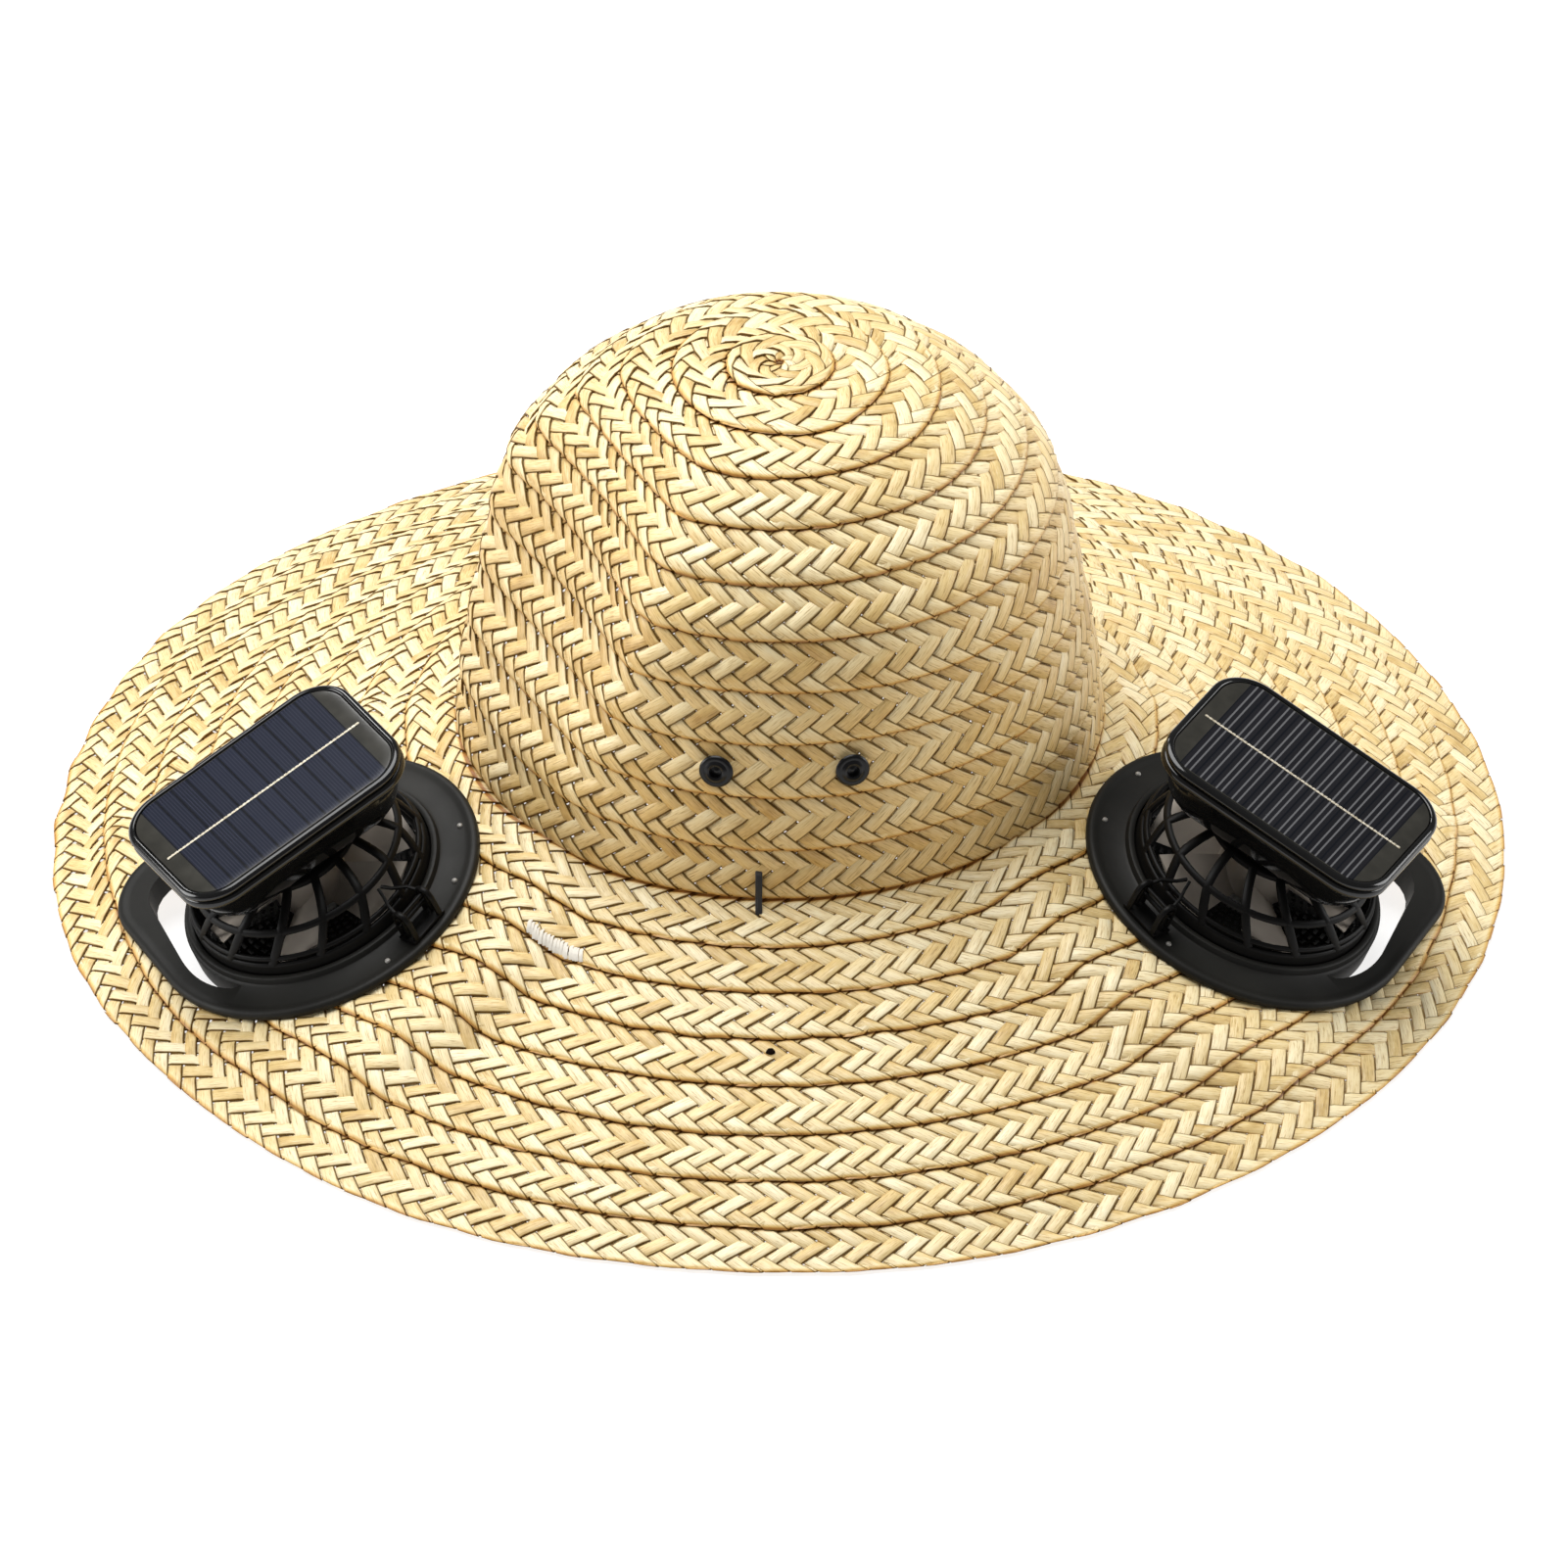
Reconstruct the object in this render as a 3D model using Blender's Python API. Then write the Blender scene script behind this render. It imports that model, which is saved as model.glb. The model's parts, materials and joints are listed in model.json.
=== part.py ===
"""Straw sun hat with two small solar fans let into its brim.

The hat rests on its rim. Its front faces -Y, +Z is up, and the origin lies on the resting plane under the crown's
axis. The crown and the brim are walls of sewn plait, in rows that lap over each other. Each fan unit is an
egg-shaped base through the brim, with a carrying loop, a pierced guard, a motor, a rotor, a housing and a solar
panel on top.
"""
import math

import bmesh
import bpy
from mathutils import Matrix, Vector

# Driving sizes, in metres.
GAP = 0.0003  # between two pieces that meet
PLAIT_WALL = 0.002  # thickness of the straw
ROW_LAP = 0.0009  # how far a row's outer edge stands over the next row
LAP_STEP_RUN = 0.0004  # how far the step at that edge leans out

CROWN_RADIUS = 0.099
CROWN_HEIGHT = 0.131
CROWN_SIDES = 44
DENT_START = math.radians(30)  # from the front, round to the left
DENT_END = math.radians(98)

BRIM_SLOPE = math.radians(22.8)
BRIM_ROWS = 8
BRIM_SIDES = 48
FOOT_SEAT = 0.0025  # flat ring round the crown's foot
FOOT_SHOULDER = 0.0045
RIM_MARGIN = 0.0184  # straw left between a carrying loop and the rim
RIM_BAND = 0.003  # flat underside of the rim, on which the hat rests

UNIT_TURN = math.radians(67.5)  # each fan unit's place, from the front round to its side
UNIT_TO_CROWN = 0.0055
FLANGE_BAND = 0.0117  # width of the flange from the foot of the ring out
FLANGE_THICK = 0.0022
FLANGE_EDGE = 0.0012
NOSE_RADIUS = 0.0215  # the flange's narrow end, where the loop is
LOOP_REACH = 0.067
LOOP_TURN = math.radians(-43)
LOOP_SIDE_BAND = 0.007
LOOP_END_BAND = 0.0105
LOOP_HALF = math.radians(74)
LOOP_FULL = math.radians(48)  # the loop's gap keeps its whole width up to this angle
LOOP_STEPS = 16
BASE_SIDES = 40
SEAT_BAND = 0.0058  # width of the flange that lies on the straw
CUT_REACH = 0.02  # how far a cutter runs past the straw on each side
COLLAR_DEPTH = 0.005
FLAT_MARGIN = 0.014  # the straw lies flat this far round the flange
FLAT_FADE = 0.026

GUARD_RADIUS = 0.0387
GUARD_WALL = 0.0018
GUARD_BAND_TOP = 0.008
GUARD_TOP = 0.0245
GUARD_TOP_RADIUS = 0.021
GUARD_MOUTH = 0.015
GUARD_RIBS = 15
GUARD_RIB_WIDTH = 0.0019
GUARD_LEAN = math.radians(16)  # how far a rib turns round the guard on its way up
GUARD_MIDDLE_IN = 0.36  # the middle ring's share of the way in from foot to top
GUARD_MIDDLE_UP = 0.55
RING_WALL = 0.0022
RING_TOP = 0.005
RING_FOOT = 0.0006
LEDGE_WIDTH = 0.0032
LEDGE_TOP = -0.001

MOTOR_RADIUS = 0.010
MOTOR_SIDES = 16
MOTOR_TOP = 0.011
SHAFT_RADIUS = 0.0012
SHAFT_LENGTH = 0.0027
ARM_COUNT = 3
ARM_WIDTH = 0.005
ARM_THICK = 0.0022
ARM_LIFT = 0.0002

BLADE_COUNT = 6
BLADE_PITCH = math.radians(34)  # halfway out
BLADE_TWIST = math.radians(17)  # from root to tip
BLADE_CHORD_ROOT = 0.0085
BLADE_CHORD_TIP = 0.0125
BLADE_THICK = 0.0012
BLADE_MIDDLE = 0.0072
TIP_CLEARANCE = 0.0024
HUB_WALL = 0.0015
HUB_BOTTOM = 0.0030
HUB_TOP = 0.0150
RUNNING_GAP = 0.0006

PANEL_LENGTH = 0.0815
PANEL_WIDTH = 0.0570
PANEL_CORNER = 0.0140
CORNER_STEPS = 4
PANEL_TOP = 0.0456
PANEL_TURN = math.radians(5.5)
FRAME_DEPTH = 0.0062
FRAME_LIP = 0.0022
CELL_BORDER = 0.0021
CELL_THICK = 0.0012
CELL_SINK = 0.0003

LATCH_TURN = math.radians(114)
LATCH_LENGTH = 0.0145
LATCH_DEPTH = 0.0076
LATCH_HEIGHT = 0.0115
LATCH_PLATE = 0.0018
LATCH_EDGE = 0.0010

EYELET_SPACING = 0.0405
EYELET_ROW = 8.5  # rows down from the crown's middle
EYELET_RADIUS = 0.00525
EYELET_HOLE = 0.0017
EYELET_BARREL = 0.0006
EYELET_THICK = 0.0009
EYELET_SIDES = 14

# Worked out from the driving sizes.
RING_INNER = GUARD_RADIUS + GAP
RING_OUTER = RING_INNER + RING_WALL
FLANGE_RADIUS = RING_OUTER + RING_FOOT + FLANGE_BAND
UNIT_RADIUS = CROWN_RADIUS + UNIT_TO_CROWN + FLANGE_RADIUS * math.cos(BRIM_SLOPE)
LOOP_OUT = UNIT_RADIUS + LOOP_REACH * math.cos(LOOP_TURN) * math.cos(BRIM_SLOPE)
BRIM_RADIUS = math.hypot(LOOP_OUT, LOOP_REACH * math.sin(LOOP_TURN)) + RIM_MARGIN
BRIM_WALL = PLAIT_WALL / math.cos(BRIM_SLOPE)  # measured upright
ROW_RUN = (BRIM_RADIUS - CROWN_RADIUS) / BRIM_ROWS
BRIM_DROP = math.tan(BRIM_SLOPE) * (BRIM_RADIUS - RIM_BAND - CROWN_RADIUS)
CROWN_FOOT = BRIM_DROP + BRIM_WALL + GAP
NOSE_DISTANCE = LOOP_REACH - NOSE_RADIUS
FLANGE_BOTTOM = 2 * GAP / 3  # the straw under it is sunk by the rest of the gap
STRAW_SINK = GAP - FLANGE_BOTTOM
FLANGE_TOP = FLANGE_BOTTOM + FLANGE_THICK
ARM_TOP = ARM_THICK + ARM_LIFT - COLLAR_DEPTH

# Each crown row's slope below level, in degrees, from the middle out and down.
CROWN_SLOPES = (5, 9, 18, 35, 42, 56, 75, 81, 80, 82, 84)
# The dent at each row's outer edge: its depth, as a share of a dent that is flat from end to end, and its
# width, as a share of the whole turn from DENT_START to DENT_END.
DENT_ROWS = ((0.0, 1.0), (0.0, 1.0), (0.15, 1.0), (0.55, 1.0), (0.95, 1.0), (1.15, 1.0), (1.25, 1.0), (1.25, 0.95),
             (1.1, 0.87), (0.9, 0.76), (0.6, 0.66), (0.2, 0.6))
# The panel's housing, from its foot up to the frame: length and width as shares of the panel's, then the height
# as a share of the way up.
HULL_SHARES = ((0.70, 0.68, 0.0), (0.82, 0.82, 0.2), (0.90, 0.90, 0.6), (0.94, 0.93, 1.0))

# Which way the guard's skin faces at each edge of its bands, in degrees above level, from its foot to its mouth.
GUARD_TILTS = (0, 20, 48, 52, 78, 90)


def smooth(share):
    """An S-curve from 0 to 1."""
    share = min(1.0, max(0.0, share))
    return share * share * (3 - 2 * share)


def material(name, colour, roughness, metallic=0.0):
    made = bpy.data.materials.new(name)
    made.use_nodes = True
    shader = made.node_tree.nodes["Principled BSDF"]
    shader.inputs["Base Color"].default_value = (*colour, 1.0)
    shader.inputs["Roughness"].default_value = roughness
    shader.inputs["Metallic"].default_value = metallic
    return made


def lofted(rings, closed=False):
    """A body whose skin runs through rings of points. A ring of one point is a tip, and an end ring is capped."""
    mesh = bmesh.new()
    loops = [[mesh.verts.new(point) for point in ring] for ring in rings]
    pairs = list(zip(loops, loops[1:]))
    if closed:
        pairs.append((loops[-1], loops[0]))
    for one, other in pairs:
        sides = max(len(one), len(other))
        for i in range(sides):
            j = (i + 1) % sides
            corners = [one[i % len(one)], one[j % len(one)], other[j % len(other)], other[i % len(other)]]
            mesh.faces.new(list(dict.fromkeys(corners)))
    if not closed:
        for end in (loops[0], loops[-1]):
            if len(end) > 1:
                mesh.faces.new(end)
    bmesh.ops.recalc_face_normals(mesh, faces=mesh.faces)
    return mesh


def turned(profile, sides, start=0.0):
    """A turned body from (radius, height) pairs. A radius of 0 is a tip."""
    rings = []
    for radius, height in profile:
        if radius == 0:
            rings.append([Vector((0, 0, height))])
            continue
        angles = [start + 2 * math.pi * i / sides for i in range(sides)]
        rings.append([Vector((radius * math.cos(a), radius * math.sin(a), height)) for a in angles])
    return rings


def box(low, high):
    """A block between two corners."""
    mesh = bmesh.new()
    bmesh.ops.create_cube(mesh, size=1.0)
    size = [b - a for a, b in zip(low, high)]
    middle = [(a + b) / 2 for a, b in zip(low, high)]
    bmesh.ops.scale(mesh, vec=size, verts=mesh.verts)
    bmesh.ops.translate(mesh, vec=middle, verts=mesh.verts)
    return mesh


def add(name, shape, finish, parent=None):
    """Put a shape in the scene as one named object."""
    data = bpy.data.meshes.new(name)
    shape.to_mesh(data)
    shape.free()
    data.shade_smooth()
    data.set_sharp_from_angle(angle=math.radians(32))
    made = bpy.data.objects.new(name, data)
    bpy.context.scene.collection.objects.link(made)
    made.parent = parent
    if finish:
        data.materials.append(finish)
    return made


def tool(name, shape, parent=None):
    """A shape that only cuts another or is joined to it."""
    made = add(name, shape, None, parent)
    made.hide_render = True
    made.display_type = "WIRE"
    return made


def combine(target, other, operation):
    modifier = target.modifiers.new(other.name, "BOOLEAN")
    modifier.operation = operation
    modifier.solver = "EXACT"
    modifier.object = other


def crown_edges():
    """Radius and height of each row's outer edge, from the crown's middle down to its foot."""
    runs = [math.cos(math.radians(slope)) for slope in CROWN_SLOPES]
    falls = [math.sin(math.radians(slope)) for slope in CROWN_SLOPES]
    edges = [(0.0, CROWN_HEIGHT)]
    for row in range(len(CROWN_SLOPES)):
        radius = CROWN_RADIUS * sum(runs[:row + 1]) / sum(runs)
        height = CROWN_HEIGHT * (1 - sum(falls[:row + 1]) / sum(falls))
        edges.append((radius, height))
    return edges


def dent(azimuth, row):
    """The factor that the dent leaves of the crown's radius. Azimuth runs from the front round to the left."""
    middle = (DENT_START + DENT_END) / 2
    deep, wide = DENT_ROWS[row]
    half = (DENT_END - DENT_START) / 2 * wide
    turn = abs((azimuth - middle + math.pi) % (2 * math.pi) - math.pi)
    if turn >= half:
        return 1.0
    return 1.0 - deep * (1.0 - math.cos(half) / math.cos(turn))


def round_the_axis(azimuth, radius, height):
    return Vector((-radius * math.sin(azimuth), -radius * math.cos(azimuth), height))


def crown_ring(edges, row, lift, slope):
    """The ring at a row's outer edge, moved out from the straw's outer face by lift."""
    out, up = lift * math.sin(slope), lift * math.cos(slope)
    ring = []
    for i in range(CROWN_SIDES):
        azimuth = 2 * math.pi * i / CROWN_SIDES
        radius = edges[row][0] * dent(azimuth, row) + out
        ring.append(round_the_axis(azimuth, radius, CROWN_FOOT + edges[row][1] + up))
    return ring


def crown():
    edges = crown_edges()
    slopes = [math.radians(slope) for slope in CROWN_SLOPES]
    rows = len(slopes)
    level = math.pi / 2
    rings = [[Vector((0, 0, CROWN_FOOT + CROWN_HEIGHT))]]
    for row in range(rows):
        lip_slope = slopes[row] if row + 1 < rows else level
        rings.append(crown_ring(edges, row + 1, ROW_LAP, lip_slope))
        if row + 1 < rows:
            rings.append(crown_ring(edges, row + 1, 0.0, slopes[row + 1]))
    rings.append(crown_ring(edges, rows, -PLAIT_WALL, level))
    for row in range(rows - 1, 0, -1):
        slope = (slopes[row - 1] + slopes[row]) / 2
        rings.append(crown_ring(edges, row, -PLAIT_WALL, slope))
    rings.append([Vector((0, 0, CROWN_FOOT + CROWN_HEIGHT - PLAIT_WALL))])
    return lofted(rings)


class UnitFrame:
    """Where a fan unit sits: u runs out and down the brim, v towards the front, w straight up off the straw."""

    def __init__(self, side):
        self.side = side
        out = Vector((side * math.sin(UNIT_TURN), -math.cos(UNIT_TURN), 0))
        up = Vector((0, 0, 1))
        self.u = out * math.cos(BRIM_SLOPE) - up * math.sin(BRIM_SLOPE)
        self.w = out * math.sin(BRIM_SLOPE) + up * math.cos(BRIM_SLOPE)
        self.front = self.w.cross(self.u) * -side
        self.origin = out * UNIT_RADIUS + up * (straight_brim(UNIT_RADIUS) + BRIM_WALL)

    def matrix(self):
        """The unit's place, for its empty."""
        turn = Matrix((self.u, self.w.cross(self.u), self.w)).transposed()
        return Matrix.Translation(self.origin) @ turn.to_4x4()

    def flatness(self, x, y):
        """How much the straw at (x, y) follows the flange's flat underside, and that plane's height there."""
        height = self.origin.z
        height -= (self.w.x * (x - self.origin.x) + self.w.y * (y - self.origin.y)) / self.w.z
        offset = Vector((x, y, height)) - self.origin
        angle = math.atan2(offset.dot(self.front), offset.dot(self.u))
        beyond = offset.length - flange_reach(angle, 0.0)
        return smooth(1 - (beyond - FLAT_MARGIN) / FLAT_FADE), height


def hull_reach(angle, body, nose):
    """Distance from the fan's axis to the outline round its body circle and the loop's smaller nose circle."""
    turn = abs((angle - LOOP_TURN + math.pi) % (2 * math.pi) - math.pi)
    tangent = math.acos(min(1.0, (body - nose) / NOSE_DISTANCE))
    tip = math.atan2(nose * math.sin(tangent), NOSE_DISTANCE + nose * math.cos(tangent))
    if turn >= tangent:
        return body
    if turn > tip:
        return body / math.cos(turn - tangent)
    return NOSE_DISTANCE * math.cos(turn) + math.sqrt(nose ** 2 - (NOSE_DISTANCE * math.sin(turn)) ** 2)


def flange_reach(angle, inset):
    return hull_reach(angle, FLANGE_RADIUS - inset, NOSE_RADIUS - inset)


def straight_brim(radius):
    """Height of the brim's underside where nothing bends it."""
    return math.tan(BRIM_SLOPE) * max(0.0, BRIM_RADIUS - RIM_BAND - radius)


def brim_ring(radius, lift, units, flat=False):
    """One ring of the brim at a radius. Lift is measured up from the straw's upper face. A flat ring is level."""
    ring = []
    for i in range(BRIM_SIDES):
        azimuth = 2 * math.pi * i / BRIM_SIDES
        point = round_the_axis(azimuth, radius, 0)
        height = straight_brim(CROWN_RADIUS if flat else radius) + BRIM_WALL
        free = 1.0
        for unit in units:
            share, plane = unit.flatness(point.x, point.y)
            share *= 0.0 if flat else smooth((BRIM_RADIUS - RIM_BAND - radius) / ROW_RUN)
            height += share * (plane - STRAW_SINK - height)
            free -= share
        point.z = height + (lift * free if lift > 0 else lift)
        ring.append(point)
    return ring


def brim(units):
    edges = [CROWN_RADIUS + ROW_RUN * row for row in range(1, BRIM_ROWS + 1)]
    inner = CROWN_RADIUS - PLAIT_WALL
    rings = [brim_ring(inner, 0.0, units, flat=True)]
    rings.append(brim_ring(CROWN_RADIUS + FOOT_SEAT, 0.0, units, flat=True))
    rings.append(brim_ring(CROWN_RADIUS + FOOT_SHOULDER, 0.0, units))
    for edge in edges:
        rings.append(brim_ring(edge, ROW_LAP, units))
        if edge is not edges[-1]:
            rings.append(brim_ring(edge + LAP_STEP_RUN, 0.0, units))
    rings.append(brim_ring(BRIM_RADIUS, -BRIM_WALL, units))
    rings.append(brim_ring(BRIM_RADIUS - RIM_BAND, -BRIM_WALL, units))
    for edge in reversed(edges[:-1]):
        rings.append(brim_ring(edge, -BRIM_WALL, units))
    rings.append(brim_ring(CROWN_RADIUS + FOOT_SHOULDER, -BRIM_WALL, units))
    rings.append(brim_ring(inner, -BRIM_WALL, units, flat=True))
    return lofted(rings, closed=True)


def unit_point(side, angle, radius, height):
    """A point in the unit's frame. Angle runs from straight out round to the front, on either side of the hat."""
    return Vector((radius * math.cos(angle), -side * radius * math.sin(angle), height))


def base_ring(side, reach, height):
    angles = [2 * math.pi * i / BASE_SIDES for i in range(BASE_SIDES)]
    return [unit_point(side, angle, reach(angle), height) for angle in angles]


def cut_out(side):
    """The hole in the straw, which clears the collar."""
    def reach(angle):
        return flange_reach(angle, SEAT_BAND - GAP)
    return lofted([base_ring(side, reach, -CUT_REACH), base_ring(side, reach, CUT_REACH)])


def fan_base(side):
    """The flange on the straw, the collar through it, and the ring round the guard."""
    ledge = RING_INNER - LEDGE_WIDTH
    section = (
        (lambda angle: ledge, -COLLAR_DEPTH),
        (lambda angle: ledge, LEDGE_TOP),
        (lambda angle: RING_INNER, LEDGE_TOP),
        (lambda angle: RING_INNER, RING_TOP),
        (lambda angle: RING_OUTER, RING_TOP),
        (lambda angle: RING_OUTER + RING_FOOT, FLANGE_TOP),
        (lambda angle: flange_reach(angle, FLANGE_EDGE), FLANGE_TOP),
        (lambda angle: flange_reach(angle, 0.0), FLANGE_BOTTOM + FLANGE_THICK / 3),
        (lambda angle: flange_reach(angle, 0.0), FLANGE_BOTTOM),
        (lambda angle: flange_reach(angle, SEAT_BAND), FLANGE_BOTTOM),
        (lambda angle: flange_reach(angle, SEAT_BAND), -COLLAR_DEPTH),
    )
    return lofted([base_ring(side, reach, height) for reach, height in section], closed=True)


def loop_gap(side):
    """The crescent between the ring and the carrying loop."""
    inner = RING_OUTER + 2 * RING_FOOT
    turns = [LOOP_HALF * (2 * i / LOOP_STEPS - 1) for i in range(LOOP_STEPS + 1)]

    def outer(turn):
        whole = hull_reach(turn + LOOP_TURN, FLANGE_RADIUS - LOOP_SIDE_BAND, NOSE_RADIUS - LOOP_END_BAND)
        past = max(0.0, (abs(turn) - LOOP_FULL) / (LOOP_HALF - LOOP_FULL))
        return inner + (whole - inner) * math.sqrt(max(0.0, 1 - past ** 2))

    rings = []
    for height in (-CUT_REACH, CUT_REACH):
        far = [unit_point(side, turn + LOOP_TURN, outer(turn), height) for turn in turns[1:-1]]
        near = [unit_point(side, turn + LOOP_TURN, inner, height) for turn in reversed(turns)]
        rings.append(far + near)
    return lofted(rings)


def motor_seat():
    low, high = ARM_LIFT - COLLAR_DEPTH, ARM_TOP
    return lofted(turned(((MOTOR_RADIUS + HUB_WALL, low), (MOTOR_RADIUS + HUB_WALL, high)), MOTOR_SIDES))


def motor_arm(side, number):
    """One arm from the motor's seat into the ring."""
    near, far = MOTOR_RADIUS - HUB_WALL, RING_INNER - LEDGE_WIDTH / 2
    arm = box((near, -ARM_WIDTH / 2, ARM_LIFT - COLLAR_DEPTH + GAP), (far, ARM_WIDTH / 2, ARM_TOP - GAP))
    turn = Matrix.Rotation(-side * 2 * math.pi * (number + 0.5) / ARM_COUNT, 3, "Z")
    bmesh.ops.rotate(arm, matrix=turn, verts=arm.verts)
    return arm


def guard_levels():
    """Radius, height and share of the lean at each edge of the guard's bands, from its foot to its mouth."""
    half = GUARD_RIB_WIDTH / 2
    foot = GUARD_RADIUS - GUARD_WALL / 2
    top = GUARD_TOP - GUARD_WALL / 2
    radius = foot + (GUARD_TOP_RADIUS - foot) * GUARD_MIDDLE_IN
    height = GUARD_BAND_TOP + (top - GUARD_BAND_TOP) * GUARD_MIDDLE_UP
    return (
        (foot, LEDGE_TOP + GAP, 0.0),
        (foot, GUARD_BAND_TOP, 0.0),
        (radius + half, height - half, 0.5),
        (radius - half, height + half, 0.5),
        (GUARD_TOP_RADIUS, top, 1.0),
        (GUARD_MOUTH, top, 1.0),
    )


def fan_guard(side):
    """A dome of leaning ribs and rings, cut through between them."""
    levels = guard_levels()
    mesh = bmesh.new()
    skins = []
    for sign in (1, -1):
        skin = []
        for (radius, height, lean), tilt in zip(levels, GUARD_TILTS):
            reach = radius + sign * GUARD_WALL / 2 * math.cos(math.radians(tilt))
            level = height + sign * GUARD_WALL / 2 * math.sin(math.radians(tilt))
            ring = []
            for rib in range(GUARD_RIBS):
                for edge in (-1, 1):
                    angle = 2 * math.pi * rib / GUARD_RIBS + GUARD_LEAN * lean
                    angle += edge * GUARD_RIB_WIDTH / 2 / radius
                    ring.append(mesh.verts.new(unit_point(side, angle, reach, level)))
            skin.append(ring)
        skins.append(skin)
    outer, inner = skins
    count = 2 * GUARD_RIBS
    for low in range(len(levels) - 1):
        for i in range(count):
            j = (i + 1) % count
            is_gap = i % 2 == 1 and low in (1, 3)
            if not is_gap:
                for skin in skins:
                    mesh.faces.new((skin[low][i], skin[low][j], skin[low + 1][j], skin[low + 1][i]))
                continue
            corners = ((low, i), (low, j), (low + 1, j), (low + 1, i))
            for (a, b), (c, d) in zip(corners, corners[1:] + corners[:1]):
                mesh.faces.new((outer[a][b], outer[c][d], inner[c][d], inner[a][b]))
    for end in (0, -1):
        for i in range(count):
            j = (i + 1) % count
            mesh.faces.new((outer[end][i], outer[end][j], inner[end][j], inner[end][i]))
    bmesh.ops.recalc_face_normals(mesh, faces=mesh.faces)
    return mesh


def fan_motor():
    bottom = ARM_TOP + GAP
    profile = ((0, bottom), (MOTOR_RADIUS, bottom), (MOTOR_RADIUS, MOTOR_TOP), (SHAFT_RADIUS, MOTOR_TOP),
               (SHAFT_RADIUS, MOTOR_TOP + SHAFT_LENGTH), (0, MOTOR_TOP + SHAFT_LENGTH))
    return lofted(turned(profile, MOTOR_SIDES))


def rotor_hub():
    """A cap over the motor, with a blind bore for its shaft."""
    inner = MOTOR_RADIUS + RUNNING_GAP
    outer = inner + HUB_WALL
    cup_top = MOTOR_TOP + RUNNING_GAP
    bore = SHAFT_RADIUS + GAP
    bore_top = MOTOR_TOP + SHAFT_LENGTH + GAP
    top = max(HUB_TOP, bore_top + HUB_WALL / 2)
    profile = ((0, top), (outer - HUB_WALL, top), (outer, top - HUB_WALL), (outer, HUB_BOTTOM),
               (inner, HUB_BOTTOM), (inner, cup_top), (bore, cup_top), (bore, bore_top), (0, bore_top))
    return lofted(turned(profile, MOTOR_SIDES))


def rotor_blade(side, number):
    """A twisted blade, rooted in the hub's wall."""
    root = MOTOR_RADIUS + RUNNING_GAP + HUB_WALL / 2
    tip = GUARD_RADIUS - GUARD_WALL - TIP_CLEARANCE
    rings = []
    for share in (0.0, 0.5, 1.0):
        radius = root + share * (tip - root)
        chord = BLADE_CHORD_ROOT + share * (BLADE_CHORD_TIP - BLADE_CHORD_ROOT)
        pitch = BLADE_PITCH + BLADE_TWIST * (0.5 - share)
        along = Vector((0, math.cos(pitch), math.sin(pitch))) * chord / 2
        across = Vector((0, -math.sin(pitch), math.cos(pitch))) * BLADE_THICK / 2
        middle = Vector((radius, 0, BLADE_MIDDLE))
        rings.append([middle - along - across, middle + along - across, middle + along + across,
                      middle - along + across])
    blade = lofted(rings)
    for vertex in blade.verts:
        vertex.co.y *= -side
    bmesh.ops.recalc_face_normals(blade, faces=blade.faces)
    turn = Matrix.Rotation(2 * math.pi * number / BLADE_COUNT, 3, "Z")
    bmesh.ops.rotate(blade, matrix=turn, verts=blade.verts)
    return blade


def plate_ring(side, length, width, corner, height):
    """A rectangle with round corners, turned as the panel is."""
    ring = []
    corner = min(corner, width / 2 - GAP)
    for quarter in range(4):
        across = 1 if quarter in (0, 3) else -1
        along = 1 if quarter < 2 else -1
        middle = Vector((across * (length / 2 - corner), along * (width / 2 - corner)))
        for step in range(CORNER_STEPS + 1):
            angle = math.pi / 2 * (quarter + step / CORNER_STEPS)
            x = middle.x + corner * math.cos(angle)
            y = middle.y + corner * math.sin(angle)
            ring.append(unit_point(side, math.atan2(y, x) + PANEL_TURN, math.hypot(x, y), height))
    return ring


def panel_body(side):
    """The housing: a hull that widens from the guard's top to the frame, with a shallow pocket for the cells."""
    foot = GUARD_TOP + GAP
    frame_low = PANEL_TOP - FRAME_DEPTH
    depth = frame_low - foot
    pocket = PANEL_TOP - CELL_SINK - CELL_THICK - GAP
    rings = []
    for long_share, wide_share, rise in HULL_SHARES:
        corner = PANEL_CORNER * wide_share
        rings.append(plate_ring(side, PANEL_LENGTH * long_share, PANEL_WIDTH * wide_share, corner,
                                foot + depth * rise))
    for inset, height in ((0.0, frame_low + FRAME_LIP / 2), (0.0, PANEL_TOP - FRAME_LIP / 2),
                          (FRAME_LIP / 3, PANEL_TOP), (CELL_BORDER, PANEL_TOP), (CELL_BORDER, pocket)):
        rings.append(plate_ring(side, PANEL_LENGTH - 2 * inset, PANEL_WIDTH - 2 * inset, PANEL_CORNER - inset,
                                height))
    return lofted(rings)


def solar_panel(side):
    inset = CELL_BORDER + GAP
    top = PANEL_TOP - CELL_SINK
    return lofted([plate_ring(side, PANEL_LENGTH - 2 * inset, PANEL_WIDTH - 2 * inset, PANEL_CORNER - inset,
                              height) for height in (top - CELL_THICK, top)])


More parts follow.
